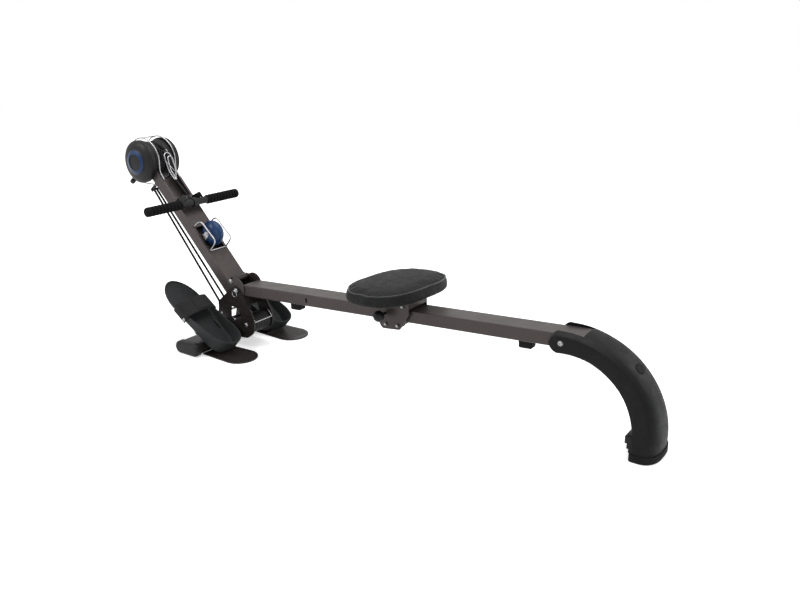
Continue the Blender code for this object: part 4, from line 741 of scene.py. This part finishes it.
# Handlebar, grips, rope and snap hook
def handle():
    half = HANDLE_HALF - 0.004
    bar = Shape().tube(rod(HANDLE, half), BAR_RADIUS, 40, ends=False)
    bar.stand("handlebar", "black_plastic", "handle")
    bore, radius, end, ribs = 0.0128, 0.0165, GRIP_LENGTH, 9
    pitch = (end - 0.016) / ribs
    rib = [
        (0, 0), (0.03, 0.0010), (0.08, 0.0029), (0.16, 0.0033), (0.24, 0.0033), (0.32, 0.0029),
        (0.37, 0.0010), (0.40, 0), (0.55, -0.0004), (0.85, -0.0004),
    ]
    profile = [(bore, 0), (radius - 0.0022, 0), (radius - 0.0007, 0.0008), (radius, 0.0028)]
    for i in range(ribs):
        start = 0.008 + i * pitch
        profile += [(radius - drop, start + pitch * along) for along, drop in rib]
    drops = ((0, 0.005), (0.0008, 0.002), (0.003, 0.0003), (0.0055, 0))
    profile += [(radius - drop, end - inner) for drop, inner in drops]
    profile += [(0, end - 0.0004), (0, end - 0.0037), (bore, end - 0.0037)]
    for side, sign in SIDES.items():
        frame = axle_pose(HANDLE + Y * sign * (HANDLE_HALF - GRIP_LENGTH), sign)
        turned("grip_" + side, "foam", "handle", profile, frame, 64)


handle()


def rope_and_hook():
    towards = (BALL - HANDLE).normalized()
    start = HANDLE + towards * (BAR_RADIUS + 0.003 + FIT + 0.0163)
    end = BALL - towards * (BALL_RADIUS + FIT)
    shape = Shape().tube(line(start, end, 12), ROPE)
    shape.stand("handle_rope", "rope", "handle")

    shape = Shape()
    ball = [radians(t) for t in range(-90, 91, 10)]
    ball = [(BALL_RADIUS * cos(t), BALL_RADIUS * sin(t)) for t in ball]
    shape.lathe(ball, axle_pose(BALL), 32)
    along, length = (HOOK_TOP - BALL).normalized(), (HOOK_TOP - BALL).length
    out = Y.cross(along).normalized()

    def loop(width, low, high, wire, lean=0.0, shift=0.0):
        foot = BALL + along * low * length + out * shift
        knee = BALL + along * (low + (high - low) * 0.35) * length + out * shift
        points = [foot + Y * width * 0.35, knee + Y * width]
        centre = BALL + along * (length * high - width) + out * (shift + lean)
        for i in range(9):
            t = pi * i / 8
            points.append(centre + Y * width * cos(t) + along * width * sin(t))
        points += [knee - Y * width, foot - Y * width * 0.35]
        shape.tube(smooth_path(points), wire)

    loop(0.0145, 0.03, 1.0, 0.0022)
    loop(0.0105, 0.12, 0.84, 0.0019, 0.003, 0.0060)
    low, high = BALL + along * length * 0.26 + Y * 0.0110, BALL + along * length * 0.66 - Y * 0.0125
    shape.tube(line(low, high, 6), 0.0016)
    collar = BALL + along * BALL_RADIUS
    shape.tube([collar, collar + along * 0.009], 0.0038, 20, ends=False)
    eye = HOOK_TOP + along * 0.004
    ring = [eye + (out * cos(t) + along * sin(t)) * 0.0075 for t in turns(28)]
    shape.tube(ring, 0.0012, 10, True)
    shape.stand("snap_hook", "chrome", "handle")

    rope_start = DRUM + ray(radians(38)) * (GROOVE_RADIUS + 3 * ROPE + 2 * FIT)
    rope_end = HOOK_TOP + along * (0.0017 + FIT)
    path = [rope_start.lerp(rope_end, 0.96 * i / 80) for i in range(81)]
    rope = Shape().tube(path, ROPE * 0.9).make("drum_rope_look", "rope", None)
    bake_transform(rope)
    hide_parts("drum_rope")


rope_and_hook()


# Elastic cords
def cords():
    top, tip = Shape(), 0.020
    for number, side in enumerate((-1, 0, 1), 1):
        foot, head = CORD_FOOT + Y * side * 0.0307, CORD_TOP + Y * side * 0.0125
        way = (head - foot).normalized()
        bare = way * (tip + FIT)
        shape = Shape().tube(line(foot + bare, head - bare, 40), 0.0039, 18)
        shape.make("cord_%d_look" % number, "elastic", "base", ["elastic_cord_%d" % number])
        top.tube([head, head - way * tip], 0.0042, 20)
    top.tube(rod(CORD_TOP, 0.022), 0.004, 20)
    for sign in SIDES.values():
        place = pose(on_post(0.477, -0.0725, sign * 0.0205), POST_UP, POST_OUT)
        top.box(place, (0.013, 0.062, 0.0026))
    top.make("cord_bracket_look", "black_plastic", "base", ["cord_anchor_top"])


cords()


# Cross tube caps
def caps():
    steps = [
        (-0.0002, 0.003), (0.0002, 0.0012), (0.0014, 0), (0.014, 0), (0.0205, 0.0004),
        (0.0222, 0.0011), (0.0236, 0.0024), (0.0242, 0.0042), (0.0246, 0.0050), (0.0254, 0.0056),
        (0.026, 0.0110),
    ]
    for side, sign in SIDES.items():
        rings = []
        for out, inset in steps:
            tall, wide = TUBE_HEIGHT + 0.007 - 2 * inset, TUBE_WIDTH + 0.007 - 2 * inset
            y = sign * (TUBE_HALF_LENGTH + FIT + max(out, 0))
            ring = long_round(wide, tall, 20)
            rings.append([at(TUBE_X + x, 0.0035 + TUBE_HEIGHT / 2 + z, y) for x, z in ring])
        look, node = "tube_cap_" + side + "_look", "cross_tube_cap_" + side
        Shape().grid(rings).make(look, "black_plastic", "base", [node])


caps()


# Pedals
def ease(share):
    share = min(max(share, 0), 1)
    return share * share * (3 - 2 * share)


def pedal_half(along):
    half = 0.063 - 0.008 * ease((along - 0.12) / 0.15)
    if along < TOE:
        half *= sqrt(max(0, 1 - (1 - along / TOE) ** 2))
    heel = along - (PEDAL_LENGTH - 0.082)
    if heel > 0:
        half *= max(0.05, 1 - (heel / 0.082) ** 2.25) ** 0.5
    return half


def pedal_rim(along):
    rise = max(0, along - 0.085)
    return 0.0085 + 0.0035 * min(along / 0.085, 1) + 0.205 * rise * min(1, rise / 0.05)


def rim_lean(along):
    return 0.10 * (pedal_rim(along) - 0.0085)


def wall_line(out, lean, top, low, round_by):
    """From below the rim down the wall, round the corner and in to the middle."""
    high, turn = low + round_by, (0.0, 0.4, 0.8, 1.2, 1.5708)
    points = [(out + lean * (1 - k / 4), top + (high - top) * k / 4) for k in (1, 2, 3)]
    points += [(out - round_by + round_by * cos(t), high - round_by * sin(t)) for t in turn]
    return points + [((out - round_by) * k / 4, low) for k in (3, 2, 1, 0)]


def pedal_ring(along, under, y):
    half, rim, lean = pedal_half(along), pedal_rim(along), rim_lean(along)
    wall = min(0.004, 0.35 * half)
    inside, lip = half - wall, min(0.0012, 0.3 * wall)
    floor = min(under + 0.007 + 1.2 * max(0, under - 0.002), rim - 0.0015)
    round_out = min(0.008, 0.4 * half, 0.6 * (rim - under))
    round_in = min(0.007, 0.4 * inside, 0.6 * (rim - floor))
    side = [(inside + lean + lip, rim), (half + lean - lip, rim), (half + lean, rim - lip)]
    side += wall_line(half, lean, rim, under, round_out)
    inner = [(inside + lean, rim - lip)]
    inner += wall_line(inside, lean, rim, floor, round_in)
    section = side + [(-a, b) for a, b in reversed(side[:-1])]
    section += [(-a, b) for a, b in inner] + list(reversed(inner[:-1]))
    return [on_pedal(along, above, y + across) for across, above in section]


def slot_shape(place, length, width, depth):
    outline = long_round(length, width, 10)
    return Shape().grid([[place @ Vector((a, b, h)) for a, b in outline] for h in (-depth, depth)])


def pedal(side, sign):
    y, body = sign * PEDAL_Y, side + "_pedal"
    heel_start = PEDAL_LENGTH - HEEL
    sole_at = [(TOE * (1 - cos(radians(i * 4.8))), 0) for i in range(1, 19)]
    sole_at += [(TOE + (heel_start - TOE) * i / 30, 0) for i in range(31)]
    for i in range(1, 22):
        turn = radians(i * 4.22)
        sole_at.append((heel_start + HEEL * sin(turn), HEEL * (1 - cos(turn))))
    rings = [pedal_ring(along, under, y) for along, under in sole_at]
    sole = Shape().grid(rings).make("pedal_" + side + "_look", "pedal_plastic", None)
    cutters = []
    for edge in (-1, 1):
        place = pose(on_pedal(0.222, 0.0035, y + edge * 0.041), PEDAL_ALONG, Y)
        cutters.append(cutter(slot_shape(place, 0.052, 0.0065, 0.015)))
    bolt_at = on_pedal(0.170, 0.014)
    cutters.append(cutter(Shape().tube(rod(bolt_at + Y * y, 0.09), 0.0033, 16, ends=False)))
    carve(sole, *cutters)
    settle(sole, "pedal_plastic", body, ["pedal_" + side])

    run = [TOE * (1 - cos(radians(i * 6.0))) for i in range(1, 15)]
    run += [TOE + (heel_start - TOE) * i / 20 for i in range(21)]
    run += [heel_start + HEEL * sin(radians(i * 7.5)) for i in range(1, 12)]
    bead = []
    for edge in (-1, 1):
        for along in run[::-edge]:
            out = pedal_half(along) + rim_lean(along) - min(0.0018, 0.3 * pedal_half(along))
            bead.append(on_pedal(along, pedal_rim(along) - 0.0002, y + edge * out))
    Shape().tube(bead, 0.0021, 10, True).make("pedal_rim_" + side, "pedal_plastic", body)

    under = Shape().tube(rod(PEDAL_PIVOT + Y * y, 0.034), 0.0115, 40, ends=False)
    place = pose(on_pedal(0.215, 0.003 - 0.0065, y), PEDAL_ALONG, PEDAL_UP)
    under.box(place, (0.046, 0.013, 0.064), 0.0015)
    under.make("pedal_boss_" + side, "pedal_plastic", body)
    strap(side, sign, y, body, bolt_at)


def evenly(path):
    """Evenly spaced points along a drawn path."""
    spots = [Vector(p) for p in path]
    made = [spots[0]]
    for start, end in zip(spots, spots[1:]):
        steps = max(1, round((end - start).length / 0.004))
        made += [start.lerp(end, k / steps) for k in range(1, steps + 1)]
    return made


def outward_of(way, spot):
    """Square to the way, and away from the foot."""
    out = Vector((way.y, -way.x))
    return -out if out.dot(spot - Vector((0, 0.01))) < 0 else out


def ribbon(spots, half_width, lift, thick, y):
    """A band along these points across the foot rest, lifted off them."""
    rings, lengths, run = [], [], 0.0
    last, edge = len(spots) - 1, thick * 0.42
    flat = 2 * (half_width - edge)
    section = [(-half_width, 0.1)] + [(edge - half_width + flat * k / 8, 0) for k in range(9)]
    section += [(half_width, 0.1)]
    section += [(a, 1 - b) for a, b in reversed(section)]
    for i, here in enumerate(spots):
        way = (spots[min(i + 1, last)] - spots[max(i - 1, 0)]).normalized()
        out = outward_of(way, here)
        if i:
            run += (here - spots[i - 1]).length
        lengths.append(run)
        ring = []
        for a, b in section:
            spot = here + out * (lift + b * thick)
            ring.append(on_pedal(STRAP_AT + a, spot.y, y + spot.x))
        rings.append(ring)

    def uv(i, j):
        return section[j % len(section)][0], lengths[min(i, last)]

    return Shape().grid(rings, uv=uv)


def strap(side, sign, y, body, bolt_at):
    thick, top = 0.003, 0.052
    wide, shoulder = 0.063 + 0.0026 + FIT, pedal_rim(STRAP_AT) - 0.002
    path = [(wide, 0.0045), (wide, shoulder * 0.5), (wide, shoulder - 0.004)]
    for i in range(31):
        angle = pi * (0.05 + 0.90 * i / 30)
        path.append((wide * cos(angle), shoulder + (top - thick - shoulder) * sin(angle) ** 0.7))
    path = evenly(path + [(-a, b) for a, b in reversed(path[:3])])
    band = ribbon(path, 0.031, 0.0, thick, y)
    band.stand("pedal_strap_" + side, "webbing", body, 50)
    over = [p for p in path if (p.x * sign < -0.004 or p.y > 0.048) and -0.052 < p.x * sign < 0.026]
    end = ribbon(over, 0.0265, 0.0031, 0.0022, y)
    end.make("strap_end_" + side, "webbing", body, smooth=50)
    stitches = Shape()
    for row in (-0.0232, 0.0232):
        for a, b in zip(over, over[1:]):
            way = (b - a).normalized()
            out = outward_of(way, a)
            middle = a.lerp(b, 0.5) + out * 0.0055
            ends = [middle - way * STITCH, middle + out * 0.0002, middle + way * STITCH]
            stitches.tube([on_pedal(STRAP_AT + row, e.y, y + e.x) for e in ends], 0.0003, 6)
    stitches.make("strap_stitches_" + side, "seat_edge", body, slot="webbing")

    outside = wide + thick
    ends = [bolt_at + Y * (y + sign * out) for out in (0.051, outside + 0.002)]
    shape = Shape().tube(ends, 0.003, 20, ends=False)
    dome = [(0, 0), (0.0065, 0), (0.0067, 0.0008), (0.0062, 0.0022)]
    dome += [(0.0050, 0.0034), (0.0030, 0.0041), (0.0028, 0.0036), (0, 0.0026)]
    shape.lathe(dome, axle_pose(bolt_at + Y * (y + sign * (outside + FIT)), sign), 40)
    shape.stand("strap_bolt_" + side, "zinc", body)


for side, sign in SIDES.items():
    pedal(side, sign)


# Stop pin with its ring
def stop_pin():
    out = POST_HALF + FIT + 0.004
    shape = Shape().tube([PIN - Y * (out + 0.0065), PIN + Y * (out + 0.008)], 0.005, 28)
    head = [(0, 0.0003), (0.008, 0.0003), (0.0083, 0.0011), (0.0083, 0.0057), (0.0078, 0.0066)]
    head += [(0.0050, 0.0069), (0.0042, 0.0077), (0.0042, 0.0141), (0.0036, 0.0151), (0, 0.0153)]
    shape.lathe(head, axle_pose(PIN - Y * out, -1), 40)
    shape.make("stop_pin_look", "chrome", "stop_pin", ["lock_pin"])
    middle = PIN - Y * (out + 0.012) - UP * 0.0101
    ring = [middle + Vector((sin(t), 0, cos(t))) * 0.0105 for t in turns(48)]
    Shape().tube(ring, 0.0011, 12, True).stand("pin_ring", "chrome", "stop_pin")


stop_pin()


# Seat wheels, their nuts, the knob and the cushion
def wheels():
    half, plate_out = BEAM_WIDTH / 2 - 0.006, BEAM_WIDTH / 2 + 0.0085 + 0.003
    nut = [(0, 0), (0.0066, 0), (0.0066, 0.0008), (0.0052, 0.0010), (0.0052, 0.0036)]
    nut += [(0.0046, 0.0042), (0.0030, 0.0043), (0.0030, 0.0056), (0.0022, 0.0064), (0, 0.0064)]
    drops = [(0.0018, 0), (0.0004, 0.0005), (0, 0.0018), (0, 0.011), (0.0005, 0.0122)]
    drops.append((0.0028, 0.014))

    def flats(t, r, h):
        return -0.10 * r * hexagon(t) if 0.0009 < h < 0.0043 and r > 0.004 else 0

    nuts = Shape()
    for level, end, along, radius in (
        ("upper", "front", -0.054, 0.0135),
        ("upper", "rear", 0.050, 0.0135),
        ("lower", "front", -0.016, 0.010),
        ("lower", "rear", 0.028, 0.010),
    ):
        above = radius + FIT if level == "upper" else -BEAM_HEIGHT - radius - FIT
        centre = on_beam(SEAT_ALONG + along, above)
        wheel = [(0.0033, half)] + [(radius - drop, half - inner) for drop, inner in drops]
        name, body = level + "_roller_" + end, level + "_" + end + "_wheel"
        turned(name, "black_plastic", body, mirrored(wheel), axle_pose(centre), 56)
        for sign in SIDES.values():
            nuts.lathe(nut, axle_pose(centre + Y * sign * (plate_out + FIT), sign), 36, wave=flats)
    nuts.make("seat_nuts", "zinc", "seat")


def seat_knob():
    hub, out = BEAM_WIDTH / 2 + 0.001, BEAM_WIDTH / 2 + 0.0085 + 0.003
    start, radius = out - hub, 0.0175
    profile = [(0, 0), (0.004, 0), (0.004, start + 0.014), (0.0062, start + 0.0155)]
    for angle in range(-66, 91, 6):
        t = radians(angle)
        profile.append((radius * cos(t), start + 0.0335 + radius * sin(t)))

    def ribs(t, r, h):
        return 0.00035 * cos(10 * t) * min(1, max(0, (r - 0.012) / 0.004))

    place = axle_pose(on_beam(SEAT_ALONG - 0.016, -0.016) - Y * hub, -1)
    turned("seat_knob", "black_plastic", "seat_pull_knob", profile, place, 96, False, ribs)


wheels()
seat_knob()


def pad_edge(angle):
    along = 0.133 * copysign(abs(cos(angle)) ** 0.80, cos(angle))
    across = 0.174 * copysign(abs(sin(angle)) ** 0.88, sin(angle))
    if along > 0:
        along *= 1 - 0.10 * cos(angle) ** 4
    return along, across


def pad_point(angle, share, height):
    along, across = pad_edge(angle)
    back = along * cos(SEAT_TURN) + across * sin(SEAT_TURN)
    side = across * cos(SEAT_TURN) - along * sin(SEAT_TURN)
    return on_beam(SEAT_ALONG + back * share, SEAT_BASE + height, side * share)


def pad_ring(share, height, steps):
    return [pad_point(t, share, height) for t in turns(steps)]


def puff(pad):
    """Fills the cushion as cloth under pressure, held at its base, and smooths it."""
    start = pad.modifiers.new("even", "REMESH")
    start.mode, start.voxel_size = "VOXEL", 0.005
    bake(pad)
    points = pad.data.vertices
    rest = [v.co.copy() for v in points]
    base, least, most = on_beam(SEAT_ALONG, SEAT_BASE), 0.0003, 0.0040
    held = pad.vertex_groups.new(name="held")
    held.add([v.index for v in points if (v.co - base).dot(BEAM_UP) < 0.006], 1.0, "REPLACE")
    cloth = pad.modifiers.new("cloth", "CLOTH").settings
    cloth.use_pressure, cloth.uniform_pressure_force = True, 4.0
    cloth.effector_weights.gravity = 0
    cloth.vertex_group_mass = "held"
    cloth.tension_stiffness = 20
    scene = bpy.context.scene
    for number in range(1, 21):
        scene.frame_set(number)
    bake(pad)
    scene.frame_set(1)
    for vertex, was in zip(pad.data.vertices, rest):
        move = vertex.co - was
        if move.length > most:
            vertex.co = was + move * (most / move.length)
        sink = (vertex.co - base).dot(BEAM_UP)
        if sink < least:
            vertex.co += BEAM_UP * (least - sink)
    soften = pad.modifiers.new("soften", "SMOOTH")
    soften.factor, soften.iterations = 0.5, 3
    finer = pad.modifiers.new("finer", "SUBSURF")
    finer.levels = finer.render_levels = 1
    bake(pad)
    pad.data.shade_smooth()


def cushion():
    rows = [
        (0, 0.0003), (0.30, 0.0003), (0.60, 0.0003), (0.86, 0.0003), (0.925, 0.0008),
        (0.962, 0.004), (0.984, 0.012), (0.986, 0.020), (0.988, 0.028), (0.990, 0.0330),
        (0.972, 0.0365), (0.935, 0.0378), (0.90, 0.0392), (0.84, 0.0415), (0.74, 0.0440),
        (0.58, 0.0460), (0.40, 0.0472), (0.20, 0.0478), (0, 0.0480),
    ]
    rings = [pad_ring(max(share, 0.002), height, 120) for share, height in rows]
    pad = Shape().grid(rings).make("seat_cushion", "leatherette", None, smooth=60)
    puff(pad)
    settle(pad, "leatherette", "seat", ["seat_pad"])

    # Piping where the top panel meets the side, and the stitches beside it
    bpy.context.view_layer.update()
    work = bmesh.new()
    work.from_mesh(pad.data)
    work.transform(pad.matrix_world)
    skin = BVHTree.FromBMesh(work)
    work.free()
    seam, stitches = [], Shape()
    count, height = 220, 0.0362
    centre = on_beam(SEAT_ALONG, SEAT_BASE + height)
    for turn in turns(count):
        edge = pad_point(turn, 1.3, height)
        found = skin.ray_cast(edge, (centre - edge).normalized())[0]
        found = found or pad_point(turn, 0.99, 0.0345)
        seam.append(found + (edge - centre).normalized() * 0.0008)
    seam = [seam[i - 1] * 0.25 + seam[i] * 0.5 + seam[(i + 1) % count] * 0.25 for i in range(count)]
    Shape().tube(seam, 0.0023, 12, True).make("seat_piping", "seat_edge", "seat")
    for a, b in zip(seam, seam[1:] + seam[:1]):
        place = a.lerp(b, 0.5) + (centre - a).normalized() * 0.0055 + BEAM_UP * 0.02
        found = skin.ray_cast(place, -BEAM_UP)[0]
        if found:
            way = (b - a).normalized() * STITCH
            stitches.tube([found - way, found + BEAM_UP * 0.0002, found + way], 0.00035, 6)
    stitches.make("seat_stitches", "rope", "seat", slot="leatherette")
    board = ((0.80, -0.0002), (0.86, -0.0002), (0.87, 0.0002), (0.87, 0.0012))
    Shape().grid([pad_ring(*row, 96) for row in board]).make("seat_board", "black_plastic", "seat")


cushion()


# Curved rear leg, foot cap, oval plate and foot clip
def leg_section(half_width, inner, outer, soft=0.0):
    """The leg's outline; soft goes from a chamfered crown at 0 to a round one at 1."""
    deep = outer - inner
    half = [(inner, 0.0), (inner, half_width * 0.5)]
    corner = ((0, 0.010), (0.0012, 0.0045), (0.0045, 0.0012), (0.010, 0))
    half += [(inner + a, half_width - b) for a, b in corner] + [(inner + deep * 0.5, half_width)]
    crown = (
        (0.0155, 0), (0.0140, 0.0006), (0.0125, 0.002), (0.0105, 0.0055), (0.0085, 0.0095),
        (0.0058, 0.014), (0.0034, 0.021), (0.0016, 0.030), (0.0004, 0.044),
    )
    half += [(outer - a, half_width - b) for a, b in crown] + [(outer, 0.0)]
    for k in range(6, len(half)):
        turn = pi / 2 * (k - 6) / (len(half) - 7)
        round_out = inner + deep * (0.30 + 0.70 * sin(turn) ** 0.9)
        round_across = half_width * cos(turn) ** 0.75 if k < len(half) - 1 else 0.0
        out, across = half[k]
        half[k] = (out + (round_out - out) * soft, across + (round_across - across) * soft)
    return [(out, -across) for out, across in half] + half[-2:0:-1]


def on_leg(part):
    """The way out of the leg at this share of its bend."""
    return ray((pi / 2 + BEAM_SLOPE) * (1 - part))


def rear_leg():
    def ring(origin, outward, *section):
        return [origin + outward * a + Y * b for a, b in leg_section(*section)]

    rings = []
    front, bend = BEAM_END - 0.094, BEAM_END - 0.0607
    middle, reach = -BEAM_HEIGHT / 2 + 0.001, BEAM_HEIGHT / 2 + 0.013
    for angle in range(20, 81, 6):
        turn = radians(angle)
        along = front + (bend - 0.004 - front) * (1 - cos(turn))
        tall = reach * sin(turn)
        rings.append(ring(on_beam(along, 0), BEAM_UP, LEG_HALF, middle - tall, middle + tall))
    for i in range(65):
        part = i / 64
        swell = max(0, part - 0.55) / 0.45
        half_width = LEG_HALF + (FOOT_HALF - LEG_HALF) * swell**1.5
        neck = 0.004 * max(0, 1 - part / 0.25)
        outer = LEG_OUTER + (LEG_FOOT_OUTER - LEG_OUTER) * part + neck
        soft = 0.85 * swell**1.3
        rings.append(ring(LEG, on_leg(part), half_width, LEG_INNER - neck, outer, soft))
    for z in (0.03, 0.0033):
        rings.append(ring(at(LEG_X, z), X, FOOT_HALF, LEG_INNER, LEG_FOOT_OUTER, 0.85))
    leg = Shape().grid(rings).make("rear_leg_look", "leg_plastic", None, smooth=30)
    wide = BEAM_WIDTH + 2 * FIT

    def room(along, above, size):
        return cutter(Shape().box(pose(on_beam(along, above), BEAM_ALONG, BEAM_UP), size, 0.0002))

    end = BEAM_END + 0.001
    carve(
        leg,
        room(end - 0.15, -BEAM_HEIGHT / 2, (0.3, BEAM_HEIGHT + 2 * FIT, wide)),
        room((end + front - 0.05) / 2, 0.02, (end - front + 0.05, 0.10, wide)),
        room(front - 0.020, -0.07, (0.10, 0.10, wide)),
        cutter(Shape().tube(rod(LEG_BOLT, 0.1), BORE, 24, ends=False)),
    )
    settle(leg, "leg_plastic", "beam_frame", ["rear_leg"])


def foot_cap():
    def ring(grow, z):
        section = leg_section(FOOT_HALF + grow, LEG_INNER - grow, LEG_FOOT_OUTER + grow, 0.85)
        return [at(LEG_X, 0) + Vector((out, across, z)) for out, across in section]

    rows = [
        (-0.0005, 0.0), (0.001, 0.0004), (0.0022, 0.0014), (0.003, 0.003), (0.003, 0.012),
        (0.0026, 0.0124), (0.0026, 0.0136), (0.003, 0.014), (0.003, 0.0205), (0.0026, 0.0216),
        (0.0018, 0.022), (0.0004, 0.022), (0.0003, 0.0214), (0.0003, 0.0035),
    ]
    shape = Shape().grid([ring(grow, z) for grow, z in rows])
    shape.stand("foot_cap", "rubber", "beam_frame", 30)


def oval_plate():
    """A blank plate that follows the leg's crown; its place's z axis points into the leg."""
    part = 0.525
    outward = on_leg(part)
    outer = LEG_OUTER + (LEG_FOOT_OUTER - LEG_OUTER) * part
    place = pose(LEG + outward * (outer + 0.0002), outward.cross(Y).normalized(), Y)
    steps = [(0, 0), (0, 0.0010), (-0.0006, 0.0016), (-0.0016, 0.0018)]
    steps += [(-0.0020, 0.0014), (-0.006, 0.0014)]
    rings = []
    for grow, height in steps:
        ring = [((0.0150 + grow) * cos(t), (0.0225 + grow) * sin(t)) for t in turns(64)]
        ring = [Vector((a, b, b * b / 0.20 + a * a / 0.54 - height)) for a, b in ring]
        rings.append([place @ p for p in ring])
    Shape().grid(rings).make("oval_plate", "gloss_plastic", "beam_frame")


def foot_clip():
    """A stepped clip on the inner side of the foot."""
    clip = Shape()
    for x, z, wide, tall, deep in (
        (-0.0095, 0.056, 0.019, 0.022, 0.052),
        (-0.0065, 0.039, 0.013, 0.018, 0.052),
        (-0.0035, 0.027, 0.007, 0.013, 0.056),
    ):
        place = pose(at(LEG_X + LEG_INNER + x + 0.001, z, -0.042), X, UP)
        clip.box(place, (wide, tall, deep), 0.0022)
    clip.make("foot_clip", "black_plastic", "beam_frame")


rear_leg()
foot_cap()
oval_plate()
foot_clip()


# Grip ribs on the standing plates
def plate_ribs():
    for side, sign in SIDES.items():
        shape = Shape()
        for i in range(9):
            x = 0.058 + i * 0.0115
            tip = x - (0.1776 - 0.061)
            reach = 0.048 if tip < 0 else sqrt(max(0, 0.050**2 - tip**2))
            path = [at(x, 0.0051, sign * 0.133 + reach * (k / 8 - 0.5) * 2) for k in range(9)]
            shape.tube(path, 0.0011, 8)
        shape.make("plate_ribs_" + side, "dark_steel", "base")


plate_ribs()


# Floor, light and camera
def floor():
    mesh = bpy.data.meshes.new("floor")
    mesh.from_pydata([(-8, -8, 0), (8, -8, 0), (8, 8, 0), (-8, 8, 0)], [], [(0, 1, 2, 3)])
    made = add_object("floor", mesh)
    paint = Paint("floor")
    feed(paint.tree, paint.shader.inputs["Base Color"], rgb(0.93, 0.93, 0.93))
    feed(paint.tree, paint.shader.inputs["Roughness"], 0.85)
    away = paint.node("VectorMath", {0: paint.object}, operation="LENGTH").outputs["Value"]
    rays = paint.node("LightPath").outputs
    seen = paint.math("MAXIMUM", rays["Is Camera Ray"], rays["Is Glossy Ray"])
    seen = paint.math("MAXIMUM", seen, rays["Is Transmission Ray"])
    glow = paint.math("MULTIPLY", seen, paint.span(away, 0.50, 1.0, 0.6, 3.2))
    emission = paint.node("Emission", {"Color": rgb(1, 1, 1), "Strength": glow})
    both = paint.node("AddShader", {0: paint.shader.outputs[0], 1: emission.outputs[0]})
    feed(paint.tree, paint.tree.nodes["Material Output"].inputs["Surface"], both.outputs[0])
    mesh.materials.append(paint.material)
    made.location.z = -0.0004


floor()


def lamp(name, place, target, size, power, tall=None):
    data = bpy.data.lights.new(name, "AREA")
    data.shape, data.size, data.size_y, data.energy = "RECTANGLE", size, tall or size, power
    obj = add_object(name, data)
    obj.location = place
    obj.rotation_euler = (Vector(target) - Vector(place)).to_track_quat("-Z", "Y").to_euler()


lamp("key", (-2.2, -2.4, 2.6), (-0.3, 0, 0.3), 1.8, 62)
lamp("top", (0.3, 0.4, 3.2), (0, 0, 0.2), 3.0, 75, 2.2)
lamp("rim", (2.6, 2.4, 1.8), (0.4, 0, 0.3), 1.6, 32)
lamp("fill", (1.8, -3.2, 1.2), (0, 0, 0.3), 2.2, 16)

world = bpy.context.scene.world = bpy.data.worlds.new("studio")
world.use_nodes = True
tree = world.node_tree
tree.nodes.clear()
rays = add_node(tree, "LightPath").outputs
added = {"operation": "ADD", "use_clamp": True}
seen = add_node(tree, "Math", {0: rays["Is Camera Ray"], 1: rays["Is Glossy Ray"]}, **added)
seen = add_node(tree, "Math", {0: seen.outputs[0], 1: rays["Is Transmission Ray"]}, **added)
studio = add_node(tree, "Background", {0: rgb(0.92, 0.95, 1.0), 1: 0.30})
white = add_node(tree, "Background", {0: rgb(1, 1, 1), 1: 1.0})
both = add_node(tree, "MixShader", {0: seen.outputs[0], 1: studio.outputs[0], 2: white.outputs[0]})
add_node(tree, "OutputWorld", {0: both.outputs[0]})

camera = bpy.data.cameras.new("camera")
camera.lens, camera.sensor_width = 37.10, 36.0
camera.clip_start, camera.clip_end = 0.05, 60
eye = add_object("camera", camera)
eye.location = (1.53574, -1.9967, 1.0857)
eye.rotation_euler = (radians(71.566), 0, radians(34.358))
scene = bpy.context.scene
scene.camera = eye
scene.view_settings.view_transform, scene.view_settings.look = "Standard", "None"
